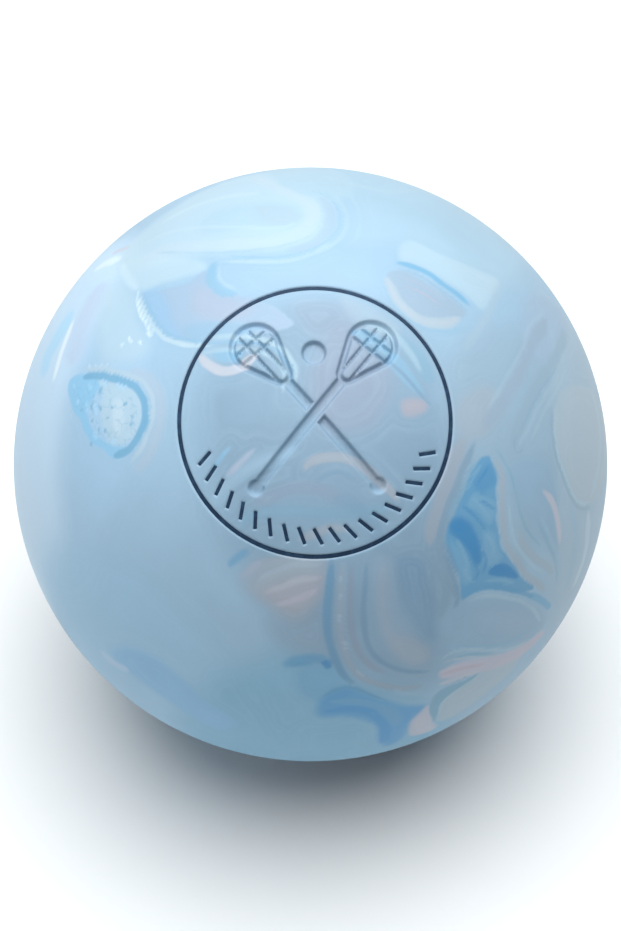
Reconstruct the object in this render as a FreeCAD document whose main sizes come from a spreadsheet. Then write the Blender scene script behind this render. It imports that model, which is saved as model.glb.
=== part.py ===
import FreeCAD, Part
import math
import os
import Sketcher

# Lacrosse ball: one solid ball of vulcanised rubber with a round emblem pressed into it.
# The emblem is a ring groove, an arc of slanted notches along its foot and two crossed lacrosse
# sticks with a little ball between their heads. Dark paint fills the ring and the notches.
#
# Frame: origin at the ball's centre, +Z up, the emblem facing front (-Y) and upwards.
# Every piece is drawn about the emblem's own axis (its local +Z, with the emblem's top
# towards local +Y) and then tilted as a whole. Millimetres and degrees.

SIZES = {
    # the ball
    "ball_diameter": 63.5,
    "emblem_elevation": 58.0,
    # ring groove, measured to the middle of its width
    "ring_radius": 13.05,
    "ring_width": 0.42,
    "ring_depth": 0.5,
    "wall_draft": 10.0,
    # arc of slanted notches at the emblem's foot, this far from the ring's inner edge
    "notch_gap": 0.8,
    "notch_length": 1.7,
    "notch_width": 0.36,
    "notch_depth": 0.4,
    "notch_lean": 28.0,
    "notch_spacing": 8.0,
    "notch_count": 19,
    # the paint's surface lies this far below the rubber around it
    "paint_recess": 0.1,
    # crossed sticks, measured along and across each stick from where they cross
    "sticks_depth": 0.5,
    "sticks_lean": 40.0,
    "crossing_rise": 0.4,
    "crossing_gap": 0.28,
    "shaft_width": 1.0,
    "butt_reach": 9.0,
    "butt_radius": 0.75,
    "throat_reach": 4.9,
    "throat_radius": 1.05,
    "scoop_reach": 8.7,
    "scoop_radius": 2.5,
    "rim_width": 0.55,
    "string_width": 0.28,
    "string_pitch": 1.15,
    # the small ball between the two heads
    "little_ball_radius": 1.15,
    "little_ball_height": 6.3,
}

# Tools that cut reach this far past the surface that they cut.
OVERCUT = 1.0

# Sketches turn clockwise in their own plane.
CLOCKWISE = FreeCAD.Vector(0, 0, -1)

doc = FreeCAD.newDocument("LacrosseBall")


def make_sheet():
    """Put every driving dimension in a spreadsheet cell, under its own alias."""
    sheet = doc.addObject("Spreadsheet::Sheet", "Sizes")
    for row, (alias, value) in enumerate(SIZES.items(), start=1):
        sheet.set(f"A{row}", alias.replace("_", " "))
        sheet.set(f"B{row}", str(value))
        sheet.setAlias(f"B{row}", alias)
    doc.recompute()
    return sheet


def make_body(name):
    """A body of its own, with the emblem's axis as its local +Z."""
    body = doc.addObject("PartDesign::Body", name)
    body.Label = name
    return body


def tilt(body):
    """Lean a finished body back until the emblem's axis has its elevation."""
    body.Placement = FreeCAD.Placement(
        FreeCAD.Vector(0, 0, 0), FreeCAD.Rotation(FreeCAD.Vector(1, 0, 0), 1)
    )
    body.setExpression("Placement.Rotation.Angle", "90 - Sizes.emblem_elevation")
    doc.recompute()
    return body


def origin_part(body, role):
    """The plane or axis of the body's own origin that has this role."""
    return next(item for item in body.Origin.OriginFeatures if item.Role == role)


def value_of(sketch, expression):
    """What an expression comes to now, as a plain number."""
    result = sketch.evalExpression(expression)
    return float(getattr(result, "Value", result))


def make_sketch(body, name, role, turn="0", up="0", lift="0"):
    """A sketch on an origin plane, turned clockwise in it, moved up it and lifted off it."""
    sketch = body.newObject("Sketcher::SketchObject", name)
    sketch.AttachmentSupport = [(origin_part(body, role), "")]
    sketch.MapMode = "FlatFace"
    sketch.AttachmentOffset = FreeCAD.Placement(
        FreeCAD.Vector(0, 0, 0), FreeCAD.Rotation(CLOCKWISE, 1)
    )
    sketch.setExpression("AttachmentOffset.Rotation.Angle", turn)
    sketch.setExpression("AttachmentOffset.Base.y", up)
    sketch.setExpression("AttachmentOffset.Base.z", lift)
    return sketch


def bind(sketch, kind, *where_and_expression):
    """Add a constraint whose value follows an expression."""
    *where, expression = where_and_expression
    index = sketch.addConstraint(
        Sketcher.Constraint(kind, *where, value_of(sketch, expression))
    )
    sketch.setExpression(f"Constraints[{index}]", expression)


def draw_polygon(sketch, corners):
    """A closed outline of straight lines; each corner is a pair of expressions."""
    places = [
        FreeCAD.Vector(value_of(sketch, across), value_of(sketch, along), 0)
        for across, along in corners
    ]
    sides = [
        sketch.addGeometry(Part.LineSegment(start, end), False)
        for start, end in zip(places, places[1:] + places[:1])
    ]
    for side, following in zip(sides, sides[1:] + sides[:1]):
        sketch.addConstraint(Sketcher.Constraint("Coincident", side, 2, following, 1))
    for side, (across, along) in zip(sides, corners):
        bind(sketch, "DistanceX", -1, 1, side, 1, across)
        bind(sketch, "DistanceY", -1, 1, side, 1, along)


def draw_circle(sketch, radius, along="0"):
    """A full circle centred on the sketch's vertical axis."""
    centre = FreeCAD.Vector(0, value_of(sketch, along), 0)
    circle = sketch.addGeometry(
        Part.Circle(centre, FreeCAD.Vector(0, 0, 1), value_of(sketch, radius)), False
    )
    bind(sketch, "Radius", circle, radius)
    bind(sketch, "DistanceX", -1, 1, circle, 3, "0")
    bind(sketch, "DistanceY", -1, 1, circle, 3, along)


def draw_head_outline(sketch, narrowing):
    """Two round ends, the throat and the scoop, joined by the straight rails that touch both."""
    small = f"Sizes.throat_radius - {narrowing}"
    large = f"Sizes.scoop_radius - {narrowing}"
    small_at = FreeCAD.Vector(0, value_of(sketch, "Sizes.throat_reach"), 0)
    large_at = FreeCAD.Vector(0, value_of(sketch, "Sizes.scoop_reach"), 0)
    small_radius = value_of(sketch, small)
    large_radius = value_of(sketch, large)
    flare = math.asin((large_radius - small_radius) / (large_at.y - small_at.y))
    upright = FreeCAD.Vector(0, 0, 1)
    scoop = sketch.addGeometry(
        Part.ArcOfCircle(
            Part.Circle(large_at, upright, large_radius), -flare, math.pi + flare
        ),
        False,
    )
    throat = sketch.addGeometry(
        Part.ArcOfCircle(
            Part.Circle(small_at, upright, small_radius), math.pi + flare, 2 * math.pi - flare
        ),
        False,
    )
    left = FreeCAD.Vector(-math.cos(flare), -math.sin(flare), 0)
    right = FreeCAD.Vector(math.cos(flare), -math.sin(flare), 0)
    left_rail = sketch.addGeometry(
        Part.LineSegment(large_at + left * large_radius, small_at + left * small_radius), False
    )
    right_rail = sketch.addGeometry(
        Part.LineSegment(small_at + right * small_radius, large_at + right * large_radius), False
    )
    for first, first_end, second, second_end in (
        (scoop, 2, left_rail, 1),
        (left_rail, 2, throat, 1),
        (throat, 2, right_rail, 1),
        (right_rail, 2, scoop, 1),
    ):
        sketch.addConstraint(
            Sketcher.Constraint("Tangent", first, first_end, second, second_end)
        )
    for arc, radius, reach in (
        (scoop, large, "Sizes.scoop_reach"),
        (throat, small, "Sizes.throat_reach"),
    ):
        bind(sketch, "Radius", arc, radius)
        bind(sketch, "DistanceX", -1, 1, arc, 3, "0")
        bind(sketch, "DistanceY", -1, 1, arc, 3, reach)


def add_turned(body, kind, sketch, axis, name):
    """A full turn of a sketch about an axis: a Revolution adds, a Groove removes."""
    feature = body.newObject(f"PartDesign::{kind}", name)
    feature.Profile = sketch
    feature.ReferenceAxis = axis
    feature.Angle = 360
    return feature


def add_pad(body, sketch, length, name):
    """Push a sketch out along the emblem's axis."""
    pad = body.newObject("PartDesign::Pad", name)
    pad.Profile = sketch
    pad.setExpression("Length", length)
    return pad


def repeat_along_arc(body, feature, name):
    """Repeat the first notch's feature about the emblem's axis, to the arc's other end."""
    pattern = body.newObject("PartDesign::PolarPattern", name)
    pattern.Originals = [feature]
    pattern.Axis = (origin_part(body, "Z_Axis"), [""])
    pattern.setExpression("Angle", "Sizes.notch_spacing * (Sizes.notch_count - 1)")
    pattern.setExpression("Occurrences", "Sizes.notch_count")
    body.Tip = pattern


RADIUS = "Sizes.ball_diameter / 2"
RING_TURN = f"asin(Sizes.ring_radius / ({RADIUS}))"
RING_FLOOR = f"{RADIUS} - Sizes.ring_depth"
RING_LEAN = "tan(Sizes.wall_draft)"
PAINT_TOP = f"{RADIUS} - Sizes.paint_recess"
NOTCH_CIRCLE = "(Sizes.ring_radius - (Sizes.ring_width + Sizes.notch_length) / 2 - Sizes.notch_gap)"
NOTCH_TURN = f"asin({NOTCH_CIRCLE} / ({RADIUS}))"
NOTCH_START = "(-90 - Sizes.notch_spacing * (Sizes.notch_count - 1) / 2)"
NOTCH_FLOOR = f"{RADIUS} - Sizes.notch_depth"


def draw_half_disc(sketch, radius):
    """The profile of a ball: a half circle on the side away from the emblem."""
    size = value_of(sketch, radius)
    arc = sketch.addGeometry(
        Part.ArcOfCircle(
            Part.Circle(FreeCAD.Vector(0, 0, 0), FreeCAD.Vector(0, 0, 1), size),
            math.pi,
            2 * math.pi,
        ),
        False,
    )
    chord = sketch.addGeometry(
        Part.LineSegment(FreeCAD.Vector(size, 0, 0), FreeCAD.Vector(-size, 0, 0)), False
    )
    sketch.addConstraint(Sketcher.Constraint("Coincident", arc, 2, chord, 1))
    sketch.addConstraint(Sketcher.Constraint("Coincident", chord, 2, arc, 1))
    sketch.addConstraint(Sketcher.Constraint("Coincident", arc, 3, -1, 1))
    sketch.addConstraint(Sketcher.Constraint("PointOnObject", chord, 1, -1))
    sketch.addConstraint(Sketcher.Constraint("PointOnObject", chord, 2, -1))
    bind(sketch, "Radius", arc, radius)


def draw_ring_section(sketch, floor, top):
    """The ring's section: walls square to the ball, leaning apart towards the surface."""
    surface_half = "Sizes.ring_width / 2"

    def half_width(level):
        return f"{surface_half} - ({RADIUS} - ({level})) * {RING_LEAN}"

    draw_polygon(
        sketch,
        [
            (f"-({half_width(floor)})", floor),
            (half_width(floor), floor),
            (half_width(top), top),
            (f"-({half_width(top)})", top),
        ],
    )


def draw_notch(body, name, level):
    """The first notch's slanted outline, square to the ball and this far from its centre."""
    sketch = body.newObject("Sketcher::SketchObject", name)
    sketch.AttachmentSupport = [(origin_part(body, "XY_Plane"), "")]
    sketch.MapMode = "FlatFace"
    lean = f"rotation(vector(0; 1; 0); {NOTCH_TURN})"
    turn = f"rotation(vector(0; 0; 1); {NOTCH_START})"
    place = f"vector(sin({NOTCH_TURN}) * cos({NOTCH_START});"
    place += f" sin({NOTCH_TURN}) * sin({NOTCH_START}); cos({NOTCH_TURN}))"
    sketch.setExpression(
        ".AttachmentOffset", f"placement(({level}) * {place}; {turn} * {lean})"
    )
    doc.recompute()
    outward = "Sizes.notch_length / 2"
    sideways = "Sizes.notch_width / 2"
    cosine = "cos(Sizes.notch_lean)"
    sine = "sin(Sizes.notch_lean)"
    draw_polygon(
        sketch,
        [
            (
                f"{end} * {outward} * {cosine} - {side} * {sideways} * {sine}",
                f"{end} * {outward} * {sine} + {side} * {sideways} * {cosine}",
            )
            for end, side in ((-1, -1), (1, -1), (1, 1), (-1, 1))
        ],
    )
    return sketch


def make_stamp():
    """The mould's raised emblem, in the ball's own frame before the tilt.

    Its face follows a sphere inside the ball, so the sticks sink equally deep everywhere.
    """
    body = make_body("emblem_stamp")
    foot = f"sqrt(({RADIUS})^2 - Sizes.ring_radius^2) - Sizes.sticks_depth - {OVERCUT}"
    height = f"{RADIUS} + {OVERCUT} - ({foot})"
    stick_frame = {
        "turn": "Sizes.sticks_lean",
        "up": "Sizes.crossing_rise",
        "lift": foot,
    }
    pads = []

    shaft = make_sketch(body, "shaft_sketch", "XY_Plane", **stick_frame)
    half = "Sizes.shaft_width / 2"
    throat_end = "Sizes.throat_reach - Sizes.throat_radius + Sizes.rim_width / 2"
    draw_polygon(
        shaft,
        [
            (f"-({half})", "-Sizes.butt_reach"),
            (half, "-Sizes.butt_reach"),
            (half, throat_end),
            (f"-({half})", throat_end),
        ],
    )
    pads.append(add_pad(body, shaft, height, "shaft"))

    butt = make_sketch(body, "butt_sketch", "XY_Plane", **stick_frame)
    draw_circle(butt, "Sizes.butt_radius", "-Sizes.butt_reach")
    pads.append(add_pad(body, butt, height, "butt"))

    head = make_sketch(body, "head_sketch", "XY_Plane", **stick_frame)
    draw_head_outline(head, "0")
    draw_head_outline(head, "Sizes.rim_width")
    pads.append(add_pad(body, head, height, "head"))

    middle_line = "Sizes.rim_width / 2"
    scoop_line = f"(Sizes.scoop_radius - {middle_line})"
    throat_line = f"(Sizes.throat_radius - {middle_line})"
    flare = "asin((Sizes.scoop_radius - Sizes.throat_radius)"
    flare += " / (Sizes.scoop_reach - Sizes.throat_reach))"
    half_string = "Sizes.string_width / 2"
    long_strings = make_sketch(body, "long_strings_sketch", "XY_Plane", **stick_frame)
    top = f"Sizes.scoop_reach + sqrt({scoop_line}^2 - (Sizes.string_pitch / 2)^2)"
    bottom = f"Sizes.throat_reach + (Sizes.string_pitch / 2 * cos({flare}) - {throat_line})"
    bottom += f" / sin({flare})"
    for side in (-1, 1):
        across = f"{side} * Sizes.string_pitch / 2"
        draw_polygon(
            long_strings,
            [
                (f"{across} - {half_string}", bottom),
                (f"{across} + {half_string}", bottom),
                (f"{across} + {half_string}", top),
                (f"{across} - {half_string}", top),
            ],
        )
    pads.append(add_pad(body, long_strings, height, "long_strings"))

    cross_strings = make_sketch(body, "cross_strings_sketch", "XY_Plane", **stick_frame)
    upper_reach = f"sqrt({scoop_line}^2 - (Sizes.string_pitch / 2)^2)"
    lower_reach = f"({scoop_line} - Sizes.string_pitch / 2 * sin({flare})) / cos({flare})"
    for step, reach in ((1, upper_reach), (-1, lower_reach)):
        along = f"{step} * Sizes.string_pitch / 2"
        draw_polygon(
            cross_strings,
            [
                (f"-({reach})", f"Sizes.scoop_reach + {along} - {half_string}"),
                (reach, f"Sizes.scoop_reach + {along} - {half_string}"),
                (reach, f"Sizes.scoop_reach + {along} + {half_string}"),
                (f"-({reach})", f"Sizes.scoop_reach + {along} + {half_string}"),
            ],
        )
    pads.append(add_pad(body, cross_strings, height, "cross_strings"))

    mirror = body.newObject("PartDesign::Mirrored", "second_stick")
    mirror.Originals = pads
    mirror.MirrorPlane = (origin_part(body, "YZ_Plane"), [""])
    body.Tip = mirror

    # The first stick lies over the second: a bare strip each side of it parts the two.
    doc.recompute()
    gap = make_sketch(body, "crossing_gap_sketch", "XY_Plane", **stick_frame)
    span = "Sizes.shaft_width * 1.5"
    for side in (-1, 1):
        near = f"{side} * ({half})"
        far = f"{side} * ({half} + Sizes.crossing_gap)"
        draw_polygon(
            gap, [(near, f"-({span})"), (far, f"-({span})"), (far, span), (near, span)]
        )
    cut = body.newObject("PartDesign::Pocket", "crossing_gap")
    cut.Profile = gap
    cut.Type = "ThroughAll"
    cut.Reversed = True

    little_ball = make_sketch(body, "little_ball_sketch", "XY_Plane", lift=foot)
    draw_circle(little_ball, "Sizes.little_ball_radius", "Sizes.little_ball_height")
    add_pad(body, little_ball, height, "little_ball")

    face = make_sketch(body, "stamp_face_sketch", "XZ_Plane")
    draw_half_disc(face, f"{RADIUS} - Sizes.sticks_depth")
    add_turned(body, "Groove", face, (origin_part(body, "X_Axis"), [""]), "stamp_face")
    doc.recompute()
    return body


def make_ball(stamp):
    """The solid rubber ball with the emblem pressed into it."""
    body = make_body("ball_body")

    disc = make_sketch(body, "ball_sketch", "XZ_Plane")
    draw_half_disc(disc, RADIUS)
    add_turned(body, "Revolution", disc, (origin_part(body, "X_Axis"), [""]), "ball")

    doc.recompute()

    ring = make_sketch(body, "ring_sketch", "XZ_Plane", turn=RING_TURN)
    draw_ring_section(ring, RING_FLOOR, f"{RADIUS} + {OVERCUT}")
    add_turned(body, "Groove", ring, (origin_part(body, "Z_Axis"), [""]), "ring_groove")

    notch = body.newObject("PartDesign::Pocket", "notch")
    notch.Profile = draw_notch(body, "notch_sketch", f"{RADIUS} + {OVERCUT}")
    notch.setExpression("Length", f"Sizes.notch_depth + {OVERCUT}")
    repeat_along_arc(body, notch, "notches")
    doc.recompute()

    pressed = body.newObject("PartDesign::Boolean", "pressed_emblem")
    pressed.Type = "Cut"
    pressed.Group = [stamp]
    body.Tip = pressed
    return tilt(body)


def make_ring_paint():
    """Dark paint filling the ring groove up to its recess."""
    body = make_body("ring_paint")
    section = make_sketch(body, "ring_paint_sketch", "XZ_Plane", turn=RING_TURN)
    draw_ring_section(section, RING_FLOOR, PAINT_TOP)
    add_turned(
        body, "Revolution", section, (origin_part(body, "Z_Axis"), [""]), "ring_of_paint"
    )
    return tilt(body)


def make_notch_paint():
    """Dark paint in every notch; the fills are separate solids of one group."""
    body = make_body("notch_paint")
    body.AllowCompound = True
    fill = add_pad(
        body,
        draw_notch(body, "notch_paint_sketch", NOTCH_FLOOR),
        "Sizes.notch_depth - Sizes.paint_recess",
        "fill",
    )
    repeat_along_arc(body, fill, "fills")
    return tilt(body)


def check_and_write(pieces):
    """Stop at anything failed, empty or invalid; otherwise write each piece to its file."""
    for item in doc.Objects:
        if {"Invalid", "Error"} & set(item.State):
            raise RuntimeError(f"{item.Label} failed: {item.State}")
    os.makedirs("parts", exist_ok=True)
    for piece in pieces:
        if piece.Shape.isNull() or not piece.Shape.isValid():
            raise RuntimeError(f"{piece.Label} has no valid shape")
    for piece in pieces:
        piece.Shape.exportStep(os.path.join("parts", f"{piece.Label}.step"))
        print(
            f"{piece.Label}: {len(piece.Shape.Solids)} solids,"
            f" {len(piece.Shape.Faces)} faces, {piece.Shape.Volume:.3f} mm3"
        )


make_sheet()
stamp = make_stamp()
ball_body = make_ball(stamp)
ring_paint = make_ring_paint()
notch_paint = make_notch_paint()
check_and_write([ball_body, ring_paint, notch_paint])
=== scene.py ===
import bpy
import math
import numpy as np
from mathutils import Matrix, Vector
from mathutils.geometry import delaunay_2d_cdt


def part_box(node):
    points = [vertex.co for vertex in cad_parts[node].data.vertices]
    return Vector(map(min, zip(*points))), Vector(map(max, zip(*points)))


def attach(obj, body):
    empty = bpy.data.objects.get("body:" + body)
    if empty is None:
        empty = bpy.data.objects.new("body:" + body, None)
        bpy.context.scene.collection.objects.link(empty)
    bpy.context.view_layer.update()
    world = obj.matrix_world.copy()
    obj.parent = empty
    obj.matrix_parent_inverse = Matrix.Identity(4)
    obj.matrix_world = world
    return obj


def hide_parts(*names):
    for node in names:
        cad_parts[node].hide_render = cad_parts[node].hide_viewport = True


# A marbled rubber lacrosse ball lying on a pale floor. The rubber is one mesh, dense where the
# emblem is pressed into it. On the side that the photograph shows, the marbling is strokes and
# patches in the places where they show there, and the rest is drawn from seeded fields.
# Lengths are millimetres until a mesh is written.

MM = 0.001
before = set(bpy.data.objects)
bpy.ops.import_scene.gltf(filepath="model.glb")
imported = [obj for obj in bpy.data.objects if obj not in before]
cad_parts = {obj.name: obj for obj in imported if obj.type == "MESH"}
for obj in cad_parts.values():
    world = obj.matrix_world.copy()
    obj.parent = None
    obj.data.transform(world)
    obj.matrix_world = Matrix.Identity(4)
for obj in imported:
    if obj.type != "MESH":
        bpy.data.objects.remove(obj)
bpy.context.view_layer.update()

# ---------------------------------------------------------------- the ball and its emblem

RADIUS = round(-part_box("ball_body")[0].x / MM, 2)
EMBLEM_ELEVATION = math.radians(58.0)
EMBLEM_RIGHT = np.array([1.0, 0.0, 0.0])
EMBLEM_UP = np.array([0.0, math.sin(EMBLEM_ELEVATION), math.cos(EMBLEM_ELEVATION)])
EMBLEM_AXIS = np.array([0.0, -math.cos(EMBLEM_ELEVATION), math.sin(EMBLEM_ELEVATION)])
EMBLEM_FRAME = np.stack([EMBLEM_RIGHT, EMBLEM_UP, EMBLEM_AXIS])

RING_RADIUS = 13.05
RING_WIDTH = 0.42
RING_DEPTH = 0.5
NOTCH_GAP = 0.8
NOTCH_LENGTH = 1.7
NOTCH_WIDTH = 0.36
NOTCH_DEPTH = 0.4
NOTCH_LEAN = math.radians(28.0)
NOTCH_SPACING = math.radians(8.0)
NOTCH_COUNT = 19
NOTCH_CIRCLE = RING_RADIUS - (RING_WIDTH + NOTCH_LENGTH) / 2 - NOTCH_GAP
STICKS_DEPTH = 0.5
STICKS_LEAN = math.radians(40.0)
CROSSING_RISE = 0.4
CROSSING_GAP = 0.28
SHAFT_WIDTH = 1.0
BUTT_REACH = 9.0
BUTT_RADIUS = 0.75
THROAT_REACH = 4.9
THROAT_RADIUS = 1.05
SCOOP_REACH = 8.7
SCOOP_RADIUS = 2.5
RIM_WIDTH = 0.55
STRING_WIDTH = 0.28
STRING_PITCH = 1.15
LITTLE_BALL_RADIUS = 1.15
LITTLE_BALL_HEIGHT = 6.3
SEAM_HALF_WIDTH = 0.45
SEAM_HEIGHT = 0.045

# ---------------------------------------------------------------- the camera

IMAGE_WIDTH = 621
IMAGE_HEIGHT = 931
SENSOR = 36.0
LENS = 91.1
FOCAL_PIXELS = LENS / SENSOR * IMAGE_HEIGHT
CAMERA_DISTANCE = 8 * RADIUS
CAMERA_ELEVATION = math.radians(49.9)
CAMERA_AZIMUTH = math.radians(-1.65)
BALL_ABOVE_MIDDLE = 1.4


def camera_axes():
    """The camera's place in millimetres and its right, up and backward directions."""
    backward = np.array([
        math.sin(CAMERA_AZIMUTH) * math.cos(CAMERA_ELEVATION),
        -math.cos(CAMERA_AZIMUTH) * math.cos(CAMERA_ELEVATION),
        math.sin(CAMERA_ELEVATION),
    ])
    right = np.cross([0.0, 0.0, 1.0], backward)
    right /= np.linalg.norm(right)
    return backward * CAMERA_DISTANCE, right, np.cross(backward, right), backward


def on_ball(pixels):
    """Where the camera's rays through pixels of the photograph first meet the ball.

    A ray that misses the ball takes the ball's nearest point to it instead.
    """
    place, right, up, backward = camera_axes()
    across = (np.array([pixel[0] for pixel in pixels]) - IMAGE_WIDTH / 2) / FOCAL_PIXELS
    middle_row = IMAGE_HEIGHT / 2 - BALL_ABOVE_MIDDLE
    down = (np.array([pixel[1] for pixel in pixels]) - middle_row) / FOCAL_PIXELS
    rays = across[:, None] * right - down[:, None] * up - backward
    rays /= np.linalg.norm(rays, axis=1, keepdims=True)
    along = -(rays @ place)
    closest = place + along[:, None] * rays
    inside = RADIUS**2 - (closest**2).sum(1)
    hits = closest - np.sqrt(np.maximum(inside, 0))[:, None] * rays
    return hits / np.linalg.norm(hits, axis=1, keepdims=True) * RADIUS


def make_camera():
    place, right, up, backward = camera_axes()
    data = bpy.data.cameras.new("camera")
    data.sensor_width = SENSOR
    data.lens = LENS
    data.shift_y = -BALL_ABOVE_MIDDLE / IMAGE_HEIGHT
    data.clip_start = 0.01
    camera = bpy.data.objects.new("camera", data)
    camera.location = Vector(place * MM)
    camera.rotation_euler = Vector(-backward).to_track_quat("-Z", "Y").to_euler()
    bpy.context.scene.collection.objects.link(camera)
    bpy.context.scene.camera = camera


make_camera()

# ---------------------------------------------------------------- the emblem's relief


def stick_places(x, y, mirrored):
    """Distances across and along one stick, from where the sticks cross."""
    x = -x if mirrored else x
    y = y - CROSSING_RISE
    across = x * math.cos(STICKS_LEAN) - y * math.sin(STICKS_LEAN)
    along = x * math.sin(STICKS_LEAN) + y * math.cos(STICKS_LEAN)
    return across, along


def box_distance(across, along, half_across, low, high):
    """Distance to a rectangle's edge, negative inside."""
    beside = np.abs(across) - half_across
    beyond = np.abs(along - (low + high) / 2) - (high - low) / 2
    outside = np.hypot(np.maximum(beside, 0), np.maximum(beyond, 0))
    return outside + np.minimum(np.maximum(beside, beyond), 0)


def head_distance(across, along, narrowing):
    """Distance to the head's outline, two circles and the rails that touch both."""
    small = THROAT_RADIUS - narrowing
    large = SCOOP_RADIUS - narrowing
    reach = SCOOP_REACH - THROAT_REACH
    slope = (small - large) / reach
    level = math.sqrt(1 - slope**2)
    x = np.abs(across)
    y = along - THROAT_REACH
    turn = -slope * x + level * y
    lean = level * x + slope * y
    at_throat = np.hypot(x, y) - small
    at_scoop = np.hypot(x, y - reach) - large
    along_rail = turn / level
    rail = lean - small
    result = np.where(along_rail < 0, at_throat, rail)
    return np.where(y * level - x * slope > reach * level, at_scoop, result)


def stick_distance(across, along):
    """Distance to one stick: shaft, butt, the head's rim and its strings."""
    shaft_end = THROAT_REACH - THROAT_RADIUS + RIM_WIDTH / 2
    shaft = box_distance(across, along, SHAFT_WIDTH / 2, -BUTT_REACH, shaft_end)
    butt = np.hypot(across, along + BUTT_REACH) - BUTT_RADIUS
    head = head_distance(across, along, 0.0)
    rim = np.maximum(head, -head_distance(across, along, RIM_WIDTH))
    half_pitch = STRING_PITCH / 2
    long_string = np.abs(np.abs(across) - half_pitch) - STRING_WIDTH / 2
    cross_string = np.abs(np.abs(along - SCOOP_REACH) - half_pitch) - STRING_WIDTH / 2
    strings = np.maximum(np.minimum(long_string, cross_string), head + RIM_WIDTH / 2)
    return np.minimum.reduce([shaft, butt, rim, strings])


def sticks_distance(x, y):
    """Distance to the crossed sticks and the little ball, negative inside."""
    over = stick_distance(*stick_places(x, y, False))
    across, along = stick_places(x, y, False)
    strip = np.abs(across) - SHAFT_WIDTH / 2 - CROSSING_GAP
    strip = np.maximum(strip, np.abs(along) - 1.5 * SHAFT_WIDTH)
    under = np.maximum(stick_distance(*stick_places(x, y, True)), -strip)
    little_ball = np.hypot(x, y - LITTLE_BALL_HEIGHT) - LITTLE_BALL_RADIUS
    return np.minimum.reduce([over, under, little_ball])


def notch_distance(x, y):
    """Distance to the nearest slanted notch, negative inside."""
    angle = np.arctan2(x, -y)
    last = (NOTCH_COUNT - 1) / 2
    angle = angle - np.clip(np.round(angle / NOTCH_SPACING), -last, last) * NOTCH_SPACING
    outward = np.hypot(x, y) * np.cos(angle) - NOTCH_CIRCLE
    sideways = np.hypot(x, y) * np.sin(angle)
    along = outward * math.cos(NOTCH_LEAN) + sideways * math.sin(NOTCH_LEAN)
    across = -outward * math.sin(NOTCH_LEAN) + sideways * math.cos(NOTCH_LEAN)
    return box_distance(across, along, NOTCH_WIDTH / 2, -NOTCH_LENGTH / 2, NOTCH_LENGTH / 2)


def ring_distance(x, y):
    """Distance to the ring groove, negative inside."""
    return np.abs(np.hypot(x, y) - RING_RADIUS) - RING_WIDTH / 2


# Distances from a recess's edge, negative inside it, and the share of its depth at each.
STEEP_WALL = ([-0.1, 0.0, 0.07, 0.16], [1.0, 0.16, 0.04, 0.0])
SOFT_WALL = ([-0.2, -0.13, -0.02, 0.06, 0.16], [1.0, 0.9, 0.4, 0.08, 0.0])


def relief(points):
    """How far each point of the ball's surface lies below the sphere."""
    x, y, z = (points @ EMBLEM_FRAME.T).T
    steep = np.maximum(
        RING_DEPTH * np.interp(ring_distance(x, y), *STEEP_WALL),
        NOTCH_DEPTH * np.interp(notch_distance(x, y), *STEEP_WALL),
    )
    soft = STICKS_DEPTH * np.interp(sticks_distance(x, y), *SOFT_WALL)
    depth = np.where(z > 0, np.maximum(steep, soft), 0)
    seam = SEAM_HEIGHT * np.clip(1 - np.abs(z) / SEAM_HALF_WIDTH, 0, 1)
    return depth - seam


# ---------------------------------------------------------------- the ball's mesh

# Vertex spacing inside the ring, and over the rest by the angle from the emblem's axis.
FLAT = 0.235
SEEN = 0.34
FRONT = 0.45
BACK = 0.68
SPACING_ANGLES = [20, 72, 86, 100, 118]
SPACINGS = [SEEN, SEEN, FRONT, FRONT, BACK]
RING_MARGIN = 0.2
EMBLEM_EDGE = RING_RADIUS + RING_WIDTH / 2 + RING_MARGIN
RING_COUNT = 620
CONTOUR_GRID = 0.05
RING_GAP = 0.05
CONTOUR_GAP = 0.07
LATTICE_GAP = 0.13
SEAM_ROWS = (-1.0, -0.45, 0.0, 0.45, 1.0)
DENSITY_STEPS = 4000


def contour_points(distance, level, reach, step):
    """Points where a distance field crosses a level, found along a fine square grid."""
    ticks = np.arange(-reach, reach, step)
    x, y = np.meshgrid(ticks, ticks)
    field = distance(x, y) - level
    found = []
    for axis in (0, 1):
        before = field[:-1] if axis == 0 else field[:, :-1]
        after = field[1:] if axis == 0 else field[:, 1:]
        rows, columns = np.nonzero(before * after < 0)
        share = before[rows, columns] / (before[rows, columns] - after[rows, columns])
        if axis == 0:
            found.append(np.stack([ticks[columns], ticks[rows] + share * step], 1))
        else:
            found.append(np.stack([ticks[columns] + share * step, ticks[rows]], 1))
    return np.concatenate(found)


def thin_out(groups):
    """Keep points in order unless one already kept lies too near; groups are (points, gap)."""
    cell = max(gap for _, gap in groups)
    kept = {}
    result = []
    for points, gap in groups:
        for x, y in points.tolist():
            column = math.floor(x / cell)
            row = math.floor(y / cell)
            near = (
                other
                for a in (column - 1, column, column + 1)
                for b in (row - 1, row, row + 1)
                for other in kept.get((a, b), ())
            )
            if all((x - p) ** 2 + (y - q) ** 2 >= gap * gap for p, q in near):
                kept.setdefault((column, row), []).append((x, y))
                result.append((x, y))
    return np.array(result)


def circle_points(radius, count):
    angle = np.arange(count) / count * 2 * math.pi
    return np.stack([radius * np.cos(angle), radius * np.sin(angle)], 1)


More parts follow.
